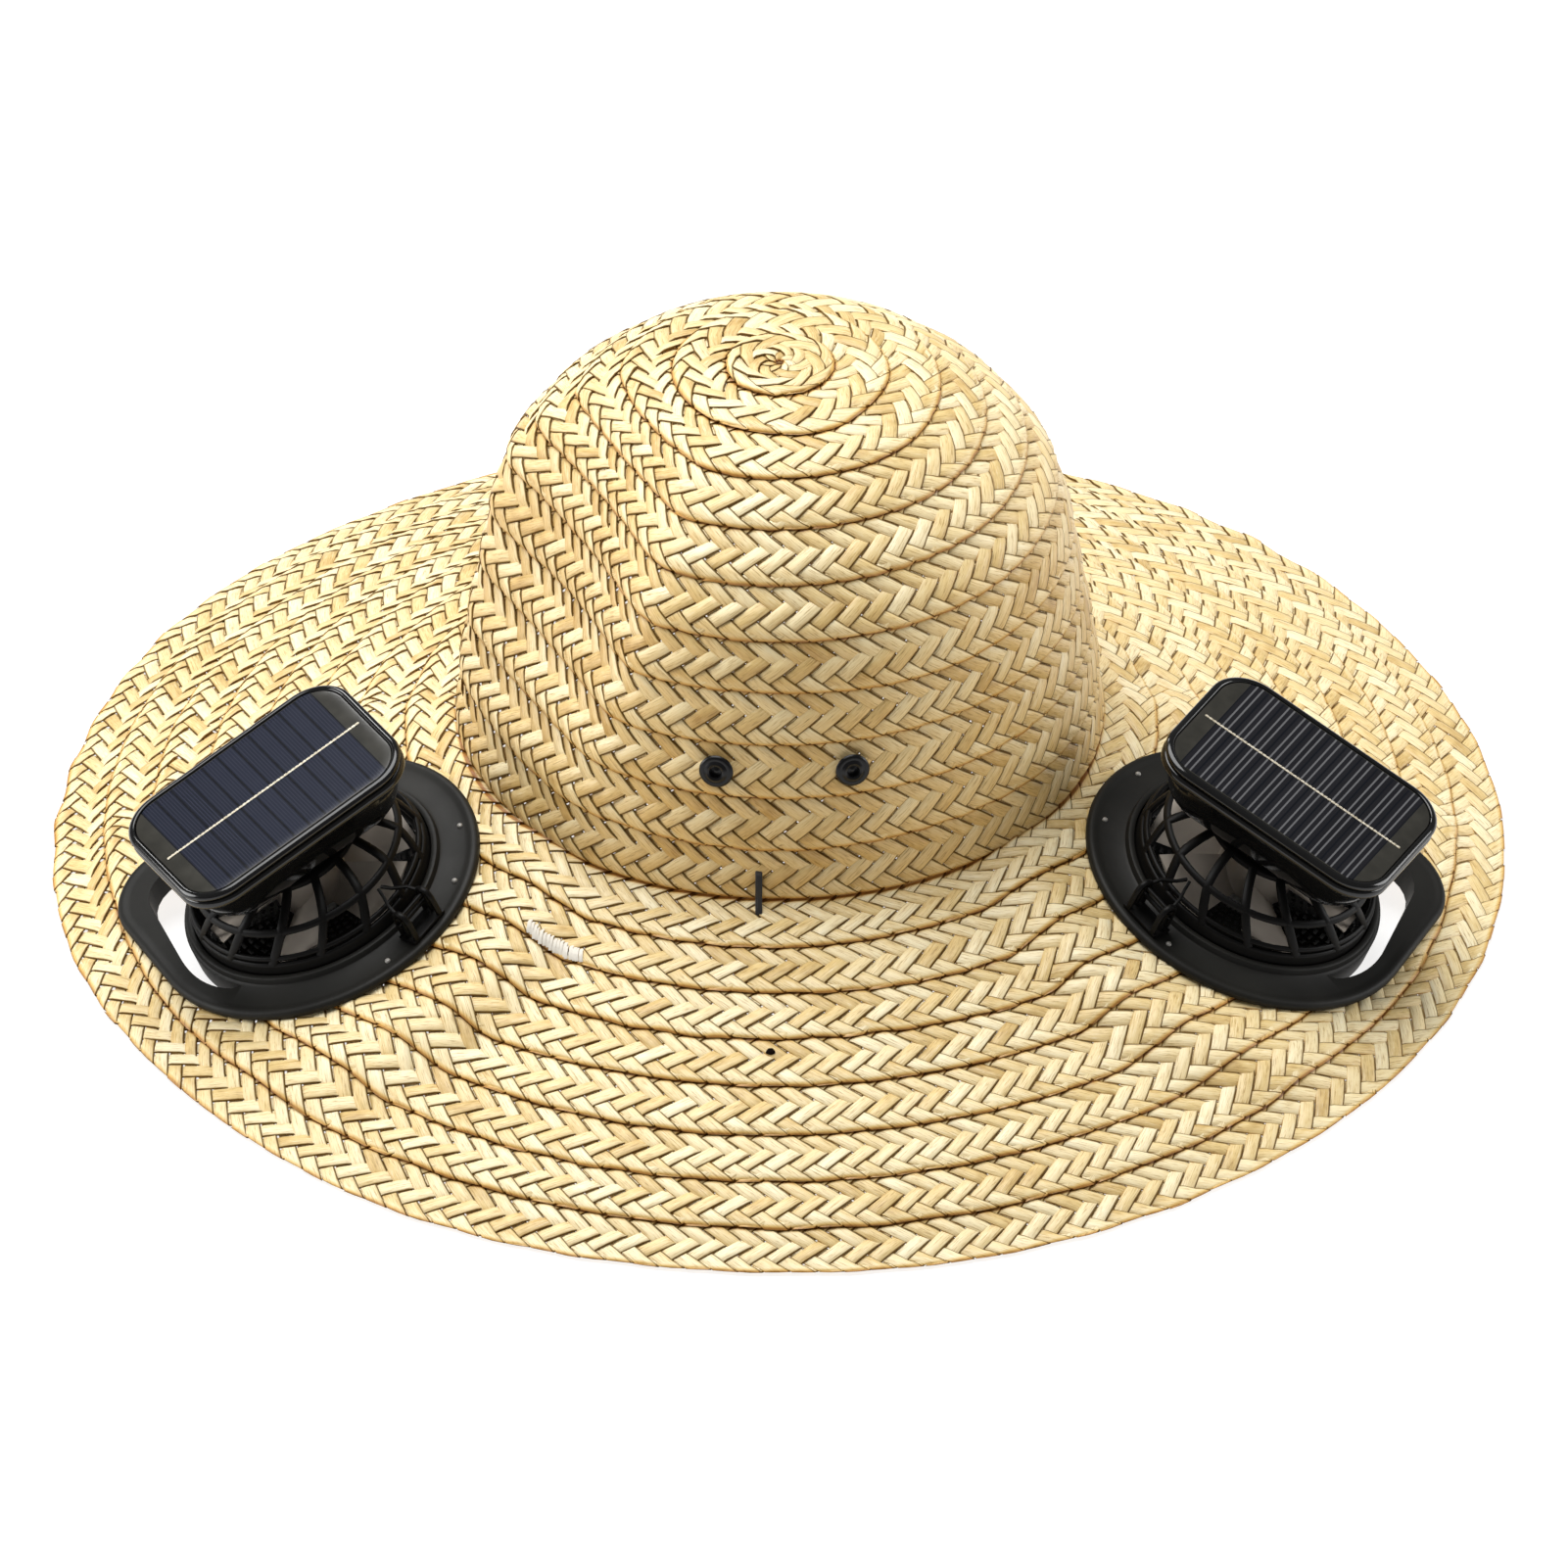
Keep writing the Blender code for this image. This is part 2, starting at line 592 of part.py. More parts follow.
def latch_parts():
    """The bracket's pieces: its foot, two upright plates and the bar between them, before they are joined."""
    foot = FLANGE_TOP + GAP
    half = LATCH_LENGTH / 2
    deep = LATCH_DEPTH / 2
    plates = [box((-deep, -half, foot), (deep, half, foot + LATCH_PLATE))]
    for sign in (-1, 1):
        near, far = sorted((sign * (half - LATCH_EDGE), sign * (half - LATCH_EDGE - LATCH_PLATE)))
        plates.append(box((-deep + LATCH_EDGE, near, foot + GAP), (deep - LATCH_EDGE, far, foot + LATCH_HEIGHT)))
    bar_top = foot + LATCH_HEIGHT - LATCH_EDGE
    reach = half - LATCH_EDGE - LATCH_PLATE / 2
    plates.append(box((-LATCH_PLATE / 2, -reach, bar_top - LATCH_PLATE), (LATCH_PLATE / 2, reach, bar_top)))
    return plates


def place_latch(shape, side):
    """Move a latch piece to the middle of the flange's clear band."""
    radius = (RING_OUTER + RING_FOOT + FLANGE_RADIUS - FLANGE_EDGE) / 2
    turn = Matrix.Rotation(-side * LATCH_TURN, 3, "Z")
    bmesh.ops.translate(shape, vec=(radius, 0, 0), verts=shape.verts)
    bmesh.ops.rotate(shape, matrix=turn, verts=shape.verts)
    return shape


def eyelet_place(side):
    """A matrix on the crown's front wall, with its Z axis straight out of the straw."""
    edges = crown_edges()
    row = int(EYELET_ROW)
    share = EYELET_ROW - row
    upper, lower = edges[row], edges[row + 1]
    start = Vector((upper[0], CROWN_FOOT + upper[1]))
    slope = math.radians(CROWN_SLOPES[row])
    end = Vector((lower[0] + ROW_LAP * math.sin(slope), CROWN_FOOT + lower[1] + ROW_LAP * math.cos(slope)))
    spot = start.lerp(end, share)
    facet = 2 * math.pi / CROWN_SIDES
    azimuth = math.asin(EYELET_SPACING / 2 / spot.x)
    middle = (math.floor(azimuth / facet) + 0.5) * facet
    flat = spot.x * math.cos(facet / 2) / math.cos(azimuth - middle)  # distance out to the facet itself
    fall = (end - start).normalized()
    normal = Vector((-fall.y, fall.x))
    out = Vector((side * math.sin(middle), -math.cos(middle), 0))
    axis = (out * normal.x + Vector((0, 0, normal.y))).normalized()
    point = Vector((side * flat * math.sin(azimuth), -flat * math.cos(azimuth), spot.y))
    return Matrix.Translation(point) @ axis.to_track_quat("Z", "Y").to_matrix().to_4x4()


def eyelet():
    barrel = EYELET_HOLE + EYELET_BARREL
    profile = ((EYELET_HOLE, -PLAIT_WALL - EYELET_BARREL), (EYELET_HOLE, GAP + EYELET_THICK),
               (EYELET_RADIUS - EYELET_BARREL, GAP + EYELET_THICK), (EYELET_RADIUS, GAP + EYELET_THICK / 2),
               (EYELET_RADIUS, GAP), (barrel, GAP), (barrel, -PLAIT_WALL - EYELET_BARREL))
    return lofted(turned(profile, EYELET_SIDES), closed=True)


def eyelet_cutter():
    radius = (EYELET_HOLE + EYELET_BARREL + GAP) / math.cos(math.pi / EYELET_SIDES)
    return lofted(turned(((radius, -4 * PLAIT_WALL), (radius, 4 * PLAIT_WALL)), EYELET_SIDES))


def build_unit(name, side, unit, straw, finishes):
    """All the pieces of one fan unit, under one empty."""
    empty = bpy.data.objects.new("unit_" + name, None)
    bpy.context.scene.collection.objects.link(empty)
    empty.matrix_world = unit.matrix()
    black, gloss, smoke, cell, metal = finishes

    combine(straw, tool("cut_out_" + name, cut_out(side), empty), "DIFFERENCE")

    base = add("fan_base_" + name, fan_base(side), black, empty)
    combine(base, tool("motor_seat_" + name, motor_seat(), empty), "UNION")
    for number in range(ARM_COUNT):
        combine(base, tool(f"motor_arm_{name}_{number}", motor_arm(side, number), empty), "UNION")
    combine(base, tool("loop_gap_" + name, loop_gap(side), empty), "DIFFERENCE")

    add("fan_guard_" + name, fan_guard(side), black, empty)
    add("fan_motor_" + name, fan_motor(), metal, empty)
    rotor = add("fan_rotor_" + name, rotor_hub(), smoke, empty)
    for number in range(BLADE_COUNT):
        combine(rotor, tool(f"blade_{name}_{number}", rotor_blade(side, number), empty), "UNION")
    add("panel_body_" + name, panel_body(side), gloss, empty)
    add("solar_panel_" + name, solar_panel(side), cell, empty)

    foot, *rest = [place_latch(shape, side) for shape in latch_parts()]
    latch = add("latch_" + name, foot, black, empty)
    for number, shape in enumerate(rest):
        combine(latch, tool(f"latch_plate_{name}_{number}", shape, empty), "UNION")


def build():
    for old in list(bpy.data.objects):
        bpy.data.objects.remove(old, do_unlink=True)
    straw_finish = material("straw", (0.76, 0.62, 0.36), 0.7)
    black = material("black_plastic", (0.022, 0.021, 0.019), 0.45)
    gloss = material("gloss_black", (0.012, 0.012, 0.012), 0.12)
    smoke = material("blade_grey", (0.09, 0.08, 0.072), 0.4)
    cell = material("solar_cell", (0.022, 0.028, 0.05), 0.18)
    metal = material("motor_steel", (0.5, 0.5, 0.5), 0.35, 0.9)

    sides = {"left": -1, "right": 1}
    units = {name: UnitFrame(side) for name, side in sides.items()}
    top = add("crown", crown(), straw_finish)
    straw = add("brim", brim(list(units.values())), straw_finish)
    for name, side in sides.items():
        place = eyelet_place(side)
        ring = add("eyelet_" + name, eyelet(), black)
        ring.matrix_world = place
        cutter = tool("eyelet_cutter_" + name, eyelet_cutter())
        cutter.matrix_world = place
        combine(top, cutter, "DIFFERENCE")
        build_unit(name, side, units[name], straw, (black, gloss, smoke, cell, metal))


build()
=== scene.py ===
# %% [markdown]
# # A straw sun hat with two solar fans
#
# This lesson dresses a plain model of the hat for its picture. The model comes from a parts library: it has the right
# sizes and the right places for everything, but its straw is a smooth wall and its plastic is faceted. Each cell below
# takes one piece, says what it is on the real hat, and makes it properly.
#
# The first cell loads the plain model. Every length in this file is in metres.

# %% Load the plain model
import json
import math

import bmesh
import bpy
import numpy as np
from mathutils import Matrix, Vector


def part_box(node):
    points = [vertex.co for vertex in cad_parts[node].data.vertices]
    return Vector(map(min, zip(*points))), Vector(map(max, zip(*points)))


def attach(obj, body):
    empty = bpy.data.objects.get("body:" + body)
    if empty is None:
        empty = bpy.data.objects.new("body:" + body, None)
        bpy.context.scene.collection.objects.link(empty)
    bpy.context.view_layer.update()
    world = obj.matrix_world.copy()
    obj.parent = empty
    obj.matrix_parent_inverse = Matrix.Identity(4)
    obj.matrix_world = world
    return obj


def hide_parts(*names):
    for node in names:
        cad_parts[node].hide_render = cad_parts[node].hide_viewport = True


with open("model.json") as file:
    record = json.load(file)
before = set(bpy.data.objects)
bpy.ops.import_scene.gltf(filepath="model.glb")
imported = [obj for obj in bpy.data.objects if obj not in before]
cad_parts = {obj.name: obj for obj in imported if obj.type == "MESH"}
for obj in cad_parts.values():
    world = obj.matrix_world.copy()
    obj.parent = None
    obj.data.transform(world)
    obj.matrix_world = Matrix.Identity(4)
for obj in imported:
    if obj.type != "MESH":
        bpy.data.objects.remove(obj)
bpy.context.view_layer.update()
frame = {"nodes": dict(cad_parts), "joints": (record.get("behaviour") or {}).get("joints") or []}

print("pieces:", sorted(frame["nodes"]))

# %% [markdown]
# ## The hat's shape
#
# The crown was shaped over a block, so its wall follows one smooth line that is turned round the middle, with a dent
# pressed into its left side. The plait was then sewn on in a growing spiral to make the brim, which slopes like a
# shallow cone. We could sculpt this, but a hat is better described by a few numbers: where each sewn row ends. The
# straw is laid on that shape later.

# %% Where the rows of the crown end
CROWN_RADIUS = 0.099
CROWN_HEIGHT = 0.131
CROWN_SLOPES = np.radians((5, 9, 18, 35, 42, 56, 75, 81, 80, 82, 84))
CROWN_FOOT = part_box("crown")[0].z

crown_r = np.concatenate([[0], np.cumsum(np.cos(CROWN_SLOPES))])
crown_z = np.concatenate([[0], np.cumsum(np.sin(CROWN_SLOPES))])
crown_r = CROWN_RADIUS * crown_r / crown_r[-1]
crown_z = CROWN_FOOT + CROWN_HEIGHT * (1 - crown_z / crown_z[-1])
crown_s = np.concatenate([[0], np.cumsum(np.hypot(np.diff(crown_r), np.diff(crown_z)))])
print(f"crown: {len(CROWN_SLOPES)} rows, {crown_s[-1] * 1000:.0f} mm from the middle down to the foot")


def smooth_line(at, known, values):
    """A curve through known points, without corners."""
    slopes = np.gradient(values, known)
    i = np.clip(np.searchsorted(known, at) - 1, 0, len(known) - 2)
    width = known[i + 1] - known[i]
    t = (at - known[i]) / width
    a, b = values[i], values[i + 1]
    m, n = slopes[i] * width, slopes[i + 1] * width
    return a + t * (m + t * (3 * (b - a) - 2 * m - n + t * (2 * (a - b) + m + n)))


# %% [markdown]
# The dent is a place where the round wall was pushed nearly flat, deepest halfway down. It is a table of factors on
# the crown's radius, one for each row's edge and each half degree round the hat. Blurring the table along the hat
# softens the ridge at the dent's ends, as stiff straw does.

# %% The dent in the crown's side
DENT_MIDDLE, DENT_HALF = math.radians(-64), math.radians(34)
DENT_DEPTHS = (0, 0, 0.15, 0.55, 0.95, 1.15, 1.25, 1.25, 1.1, 0.9, 0.6, 0.2)
DENT_WIDTHS = (1, 1, 1, 1, 1, 1, 1, 0.95, 0.87, 0.76, 0.66, 0.6)
TABLE = 720

around = np.arange(TABLE) * 2 * math.pi / TABLE
dent = np.ones((len(DENT_DEPTHS), TABLE))
for row, (depth, width) in enumerate(zip(DENT_DEPTHS, DENT_WIDTHS)):
    half = DENT_HALF * width
    turn = np.abs((around - DENT_MIDDLE + math.pi) % (2 * math.pi) - math.pi)
    inside = turn < half
    dent[row, inside] = 1 - depth * (1 - math.cos(half) / np.cos(turn[inside]))
blur = np.exp(-0.5 * (np.arange(-20, 21) / 6.0) ** 2)
blur /= blur.sum()
dent = np.stack([np.convolve(np.concatenate([line[-20:], line, line[:20]]), blur, "valid") for line in dent])
print(f"dent: {(1 - dent.min()) * CROWN_RADIUS * 1000:.0f} mm at its deepest")


def crown_point(s, theta):
    """The straw's outer face, s metres down from the middle and theta round from the front to the right."""
    s = np.clip(s, 0, crown_s[-1])
    row = np.interp(s, crown_s, np.arange(len(crown_s)))
    r = smooth_line(s, crown_s, crown_r)
    z = smooth_line(s, crown_s, crown_z)
    low = np.clip(row.astype(int), 0, len(dent) - 2)
    share = row - low
    share = share * share * (3 - 2 * share)
    spot = (theta % (2 * math.pi)) / (2 * math.pi) * TABLE
    left = spot.astype(int) % TABLE
    right = (left + 1) % TABLE
    part = spot - np.floor(spot)
    upper = dent[low, left] * (1 - part) + dent[low, right] * part
    lower = dent[low + 1, left] * (1 - part) + dent[low + 1, right] * part
    r = r * (upper * (1 - share) + lower * share)
    return np.stack([r * np.sin(theta), -r * np.cos(theta), z], -1)


# %% [markdown]
# The brim is a cone, pressed flat where each fan unit is clamped on it. The plain model already knows where the fans
# turn: each rotor has a joint, with a point and an axis. From that we get the flat plane under each unit, and the
# egg-shaped outline of its flange, which is a big circle and a small one with straight lines between them.

# %% Where the fan units sit, and the brim round them
BRIM_SLOPE = math.radians(22.8)
BRIM_ROWS = 8
STRAW = 0.002 / math.cos(BRIM_SLOPE)
BRIM_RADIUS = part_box("brim")[1].y
RIM_BAND = 0.003
ROW_RUN = (BRIM_RADIUS - CROWN_RADIUS) / BRIM_ROWS
FLANGE_RADIUS, NOSE_RADIUS, LOOP_REACH = 0.0535, 0.0215, 0.067
LOOP_TURN = math.radians(-43)
NOSE_DISTANCE = LOOP_REACH - NOSE_RADIUS
FLAT_MARGIN, FLAT_OVER, PRESSED = 0.014, 0.026, 0.0001  # the flat straw round a flange, and its way back
SAME_FACE = 0.01  # spots nearer than this to a flange's plane belong to its side of the brim


class Unit:
    """Directions of one fan unit: out runs down the brim, front towards the hat's front, up straight off the straw."""

    def __init__(self, name, side):
        joint = next(j for j in frame["joints"] if j["name"] == "spin_" + name)
        self.name, self.side = name, side
        self.origin, self.up = Vector(joint["pos_m"]), Vector(joint["axis"]).normalized()
        level = Vector((self.up.x, self.up.y, 0)).normalized()
        self.out = (level - self.up * level.dot(self.up)).normalized()
        self.front = self.up.cross(self.out) * -side

    def place(self, points):
        """Points given as (out, front, up), in the hat's own frame."""
        return np.array(self.origin) + points @ np.array([self.out, self.front, self.up])


units = {"left": Unit("left", -1), "right": Unit("right", 1)}


def reach(angle, body, nose):
    """Distance from the fan's axis to an egg-shaped outline. Angle runs from straight out round to the front."""
    turn = np.abs((angle - LOOP_TURN + math.pi) % (2 * math.pi) - math.pi)
    tangent = math.acos(min(1.0, (body - nose) / NOSE_DISTANCE))
    tip = math.atan2(nose * math.sin(tangent), NOSE_DISTANCE + nose * math.cos(tangent))
    straight = body / np.cos(np.minimum(turn, tangent) - tangent)
    small = np.minimum(turn, tip)
    nosed = NOSE_DISTANCE * np.cos(small) + np.sqrt(nose ** 2 - (NOSE_DISTANCE * np.sin(small)) ** 2)
    return np.where(turn >= tangent, body, np.where(turn > tip, straight, nosed))


def seen_from(unit, x, y):
    """For spots on the brim: the flange plane's height there, the distance from the fan's axis, and the angle."""
    o, w = unit.origin, unit.up
    height = o.z - (w.x * (x - o.x) + w.y * (y - o.y)) / w.z
    offset = np.stack([x - o.x, y - o.y, height - o.z], -1)
    angle = np.arctan2(offset @ np.array(unit.front), offset @ np.array(unit.out))
    return height, np.linalg.norm(offset, axis=-1), angle


def ease(share):
    share = np.clip(share, 0, 1)
    return share * share * (3 - 2 * share)


def brim_point(s, theta):
    """The brim's upper face, s metres down from the crown's foot."""
    r = CROWN_RADIUS + s * math.cos(BRIM_SLOPE)
    x, y = r * np.sin(theta), -r * np.cos(theta)
    z = math.tan(BRIM_SLOPE) * np.maximum(0, BRIM_RADIUS - RIM_BAND - r) + STRAW
    for unit in units.values():
        plane, distance, angle = seen_from(unit, x, y)
        beyond = distance - reach(angle, FLANGE_RADIUS, NOSE_RADIUS)
        share = ease(1 - (beyond - FLAT_MARGIN) / FLAT_OVER) * ease((BRIM_RADIUS - RIM_BAND - r) / ROW_RUN)
        z = z + share * (plane - PRESSED - z)
    return np.stack([x, y, z], -1)


print(f"brim: {BRIM_RADIUS * 2000:.0f} mm across, {BRIM_ROWS} rows of {ROW_RUN / math.cos(BRIM_SLOPE) * 1000:.1f} mm")

# %% [markdown]
# ## The plait
#
# This is what makes it a straw hat. A plait of seven flat strands is worked first: each strand runs across the plait
# at a slant, is folded over at the edge, and comes back. One family of strands leans one way, one the other, and they
# pass over and under each other. A bump map of a herringbone would look painted on when seen from low down, and the
# rim and the lapped seams would still be smooth. So every strand is real here: a thin ribbon, rounded across, that
# rises over and dives under its neighbours.
#
# All strands of a row are the same ribbon, so one table of numbers makes them all. Across the ribbon there are six
# corners, five on top and one below. Along it there are eighteen stations, closer together where it dives under or is
# folded. Each strand passes over two others, under two, over two, and is folded back at the edge. The upper edge of
# a row is hidden below the row above. What shows is one family, then the other, which gives the arrowheads that point
# along the row, and then a narrow band of folds.

# %% One strand, as a table
COLUMNS = 3.5  # a strand crosses the plait while it moves this many pitches along it
EDGE = 0.484  # half a ribbon's width, in pitches
across_at = np.array([-1.0, -0.90, 0.0, 0.90, 1.0, 0.0])
across_lift = np.array([0.0, 0.86, 1.0, 0.86, 0.0, -0.75])
STATIONS_IN = np.array([1.0, 1.5, 1.76, 2.5, 3.26, 3.5, 3.74, 4.5, 5.26, 5.5, 5.76])
STRAND_HALF = 0.00017
WEAVE_LIFT = 0.00034
ROLL = 0.00016  # each ribbon's one edge lies over its neighbour


def stations(offset):
    """How far along its neighbours each station lies, for a line of the ribbon that is offset from its middle."""
    start = offset + (0.5 - offset) * np.array([0.0, 0.3, 1.0])[:, None]
    end = 6.5 + (offset + 0.5) * np.array([0.0, 0.5, 0.87, 1.0])[:, None]
    middle = np.repeat(STATIONS_IN[:, None], len(offset), 1)
    return np.concatenate([start, middle, end])


def over_under(column):
    """Plus 1 where the first family lies on top, minus 1 where it is below."""
    return np.tanh(4.0 * np.sin(math.pi * (column - 1.5) / 2)) / math.tanh(4.0)


one_strand = stations(across_at * EDGE)
print(f"a strand: {one_strand.shape[0]} stations of {one_strand.shape[1]} corners")

# %% [markdown]
# A row of plait is laid on the hat by giving each corner two numbers: how far round the hat, and how far across the
# row. Each row's outer edge is raised and lies over the next row, as roof tiles do. That lap is where the dark line
# between the rows comes from, deepened by a painted shadow in the straw's finish. Small waves in the seams, and small
# differences between strands, keep it from looking like a machine's work.

# %% Lay rows of plait on the hat
PITCH, LAP = 0.0078, 0.0046
HALF_WIDTHS, SIDE_SHIFT, WIDEST = (0.93, 1.04), 0.018, 0.498  # ribbons differ in width, and lie off their places
THICKNESSES, LIFT_SHIFT, ROLL_SHIFT = (0.85, 1.2), 0.00005, 0.00009
END_SHIFT, END_LIMIT = 0.00022, 0.0004  # folds don't all end on the seam
SUNK, SUNK_OVER = 0.0007, 0.008
STEP_DOWN, STEP_ROUND = 0.0008, 0.004  # how far apart the points are that give the straw's direction
rng = np.random.default_rng(7)


def waves(size, count, lowest=2):
    """A gentle random wave round the hat, which meets itself."""
    parts = [(k, size * rng.normal() / count ** 0.5, rng.uniform(0, 2 * math.pi))
             for k in range(lowest, lowest + count)]
    return lambda theta: sum(a * np.sin(k * theta + p) for k, a, p in parts)


def seam_waves(size, count, shiver=0.00016):
    """The wander of a seam, with a smaller quick shiver on it from the needle's stitches."""
    slow, quick = waves(size, count), waves(shiver, 24, 34)
    return lambda theta: slow(theta) + quick(theta)


def sink(spot):
    """The straw is pressed down under a fan unit's flange."""
    down = np.zeros(spot.shape[:-1])
    for unit in units.values():
        plane, distance, angle = seen_from(unit, spot[..., 0], spot[..., 1])
        beyond = distance - reach(angle, FLANGE_RADIUS, NOSE_RADIUS)
        down -= SUNK * ease(1 - (beyond - 0.001) / SUNK_OVER) * (np.abs(spot[..., 2] - plane) < SAME_FACE)
    return down


def lay_row(surface, inner, outer, seam_in, seam_out, lap, heights, middle_radius):
    """The corners of one row between two distances down the hat, and the strands' own numbers."""
    count = max(6, round(2 * math.pi * middle_radius / PITCH))
    each = (count, 1, 1)
    families = []
    for family in (1, -1):
        offset = across_at * EDGE * rng.uniform(*HALF_WIDTHS, (count, 1)) + rng.normal(0, SIDE_SHIFT, (count, 1))
        offset = np.clip(offset, -WIDEST, WIDEST)
        station = np.stack([stations(line) for line in offset])
        offset = offset[:, None, :]
        y = (station - offset) / 2
        x = np.arange(count)[:, None, None] + family * (station + offset) / 2
        edge = np.clip(np.minimum(y, COLUMNS - y) / 0.10, 0, 1)
        calm = 1 - 0.55 * ease((y - 2.75) / 0.3)
        lift = family * over_under(station) * WEAVE_LIFT * np.sqrt(1 - (1 - edge) ** 2) * calm
        lift = lift + across_lift * STRAND_HALF * 2 * rng.uniform(*THICKNESSES, each) * (0.35 + 0.65 * edge)
        lift = lift + rng.normal(0, LIFT_SHIFT, each)
        lift = lift + (ROLL + rng.normal(0, ROLL_SHIFT, each)) * across_at * family * edge * calm
        theta = x / count * 2 * math.pi
        share = y / COLUMNS
        start = inner - lap + seam_in(theta)
        ragged = np.clip(rng.normal(0, END_SHIFT, each), -END_LIMIT, END_LIMIT) * share ** 8
        s = start + (outer + seam_out(theta) - start) * share + ragged
        lift = lift + np.interp(share, (0, lap / (outer - inner + lap), 0.93, 1), heights)
        families.append({
            "place": np.stack([s, theta, lift], -1),
            "colour": np.repeat(rng.uniform(0, 1, (count, 1, 3)), station.shape[1] * station.shape[2], 1),
            "side": np.broadcast_to(across_at * family * 0.5 + 0.5, station.shape),
            "along": station + rng.uniform(0, 40, each),
            "below": (s - inner - seam_in(theta)) * 1000,
            "above": (outer + seam_out(theta) - s) * 1000,
        })
    row = {key: np.concatenate([numbers[key] for numbers in families]) for key in families[0]}
    s, theta, lift = np.moveaxis(row.pop("place"), -1, 0)
    spot = surface(s, theta)
    down = surface(s + STEP_DOWN, theta) - surface(s - STEP_DOWN, theta)
    turn = surface(s, theta + STEP_ROUND) - surface(s, theta - STEP_ROUND)
    normal = np.cross(down, turn)
    normal /= np.linalg.norm(normal, axis=-1, keepdims=True)
    row["spot"] = spot + normal * (lift + sink(spot))[..., None]
    return row


print(f"a row of this plait has a strand every {PITCH * 1000:.1f} mm, and laps {LAP * 1000:.1f} mm under the next")

# %% [markdown]
# Now the rows of one piece of straw become a mesh. Where a fan unit goes through the brim, the straw is cut along the
# unit's outline: ribbons that lie wholly inside are left out, and those that cross the line end on it. The eyelets'
# holes are made in the same way, with a circle. The mesh keeps four numbers and a colour for each corner, which the
# straw's finish reads later, and a map called OFBake that gives each strand its own strip, for anyone who wants to
# paint the finish into a picture.

# %% Where the small holes are
HOLE_RADIUS, CUT_INSET = 0.0024, 0.0055
EYELET_ROW = 8
holes = []
for name in ("eyelet_left", "eyelet_right"):
    low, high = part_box(name)
    centre = (low + high) / 2
    away = Vector((centre.x, centre.y, 0)).normalized()
    slope = CROWN_SLOPES[EYELET_ROW]
    holes.append((centre, away * math.sin(slope) + Vector((0, 0, math.cos(slope)))))
print("holes:", [tuple(round(v * 1000) for v in centre) for centre, axis in holes])


def cut_out(spot):
    """Moves corners that lie inside a hole to its edge, and says which they were."""
    inside = np.zeros(len(spot), bool)
    for unit in units.values():
        plane, distance, angle = seen_from(unit, spot[:, 0], spot[:, 1])
        edge = reach(angle, FLANGE_RADIUS - CUT_INSET, NOSE_RADIUS - CUT_INSET)
        here = (distance < edge) & (np.abs(spot[:, 2] - plane) < SAME_FACE)
        grow = edge[here] / distance[here]
        above = spot[here, 2] - plane[here]
        for k in (0, 1):
            spot[here, k] = unit.origin[k] + (spot[here, k] - unit.origin[k]) * grow
        spot[here, 2] = seen_from(unit, spot[here, 0], spot[here, 1])[0] + above
        inside |= here
    for centre, axis in holes:
        offset = spot - np.array(centre)
        along = offset @ np.array(axis)
        flat = offset - along[:, None] * np.array(axis)
        distance = np.linalg.norm(flat, axis=1)
        here = (distance < HOLE_RADIUS) & (np.abs(along) < SAME_FACE)
        spot[here] += flat[here] * (HOLE_RADIUS / distance[here] - 1)[:, None]
        inside |= here
    return inside


# %% Turn rows of plait into a piece
MAP_MARGIN = 0.03


def add_object(name, data):
    made = bpy.data.objects.new(name, data)
    bpy.context.scene.collection.objects.link(made)
    return made


def strips(strands, along, around):
    """The map: a grid of cells, one for each strand, with a margin between them."""
    grid = math.ceil(math.sqrt(strands))
    u, v = (np.arange(n + 1) / n * (1 - 2 * MAP_MARGIN) + MAP_MARGIN for n in (around, along - 1))
    cell = np.arange(strands)[:, None, None]
    spots = np.stack(np.broadcast_arrays((cell % grid + u) / grid, (cell // grid + v[:, None]) / grid), -1)
    return np.stack([spots[:, :-1, :-1], spots[:, :-1, 1:], spots[:, 1:, 1:], spots[:, 1:, :-1]], -2)


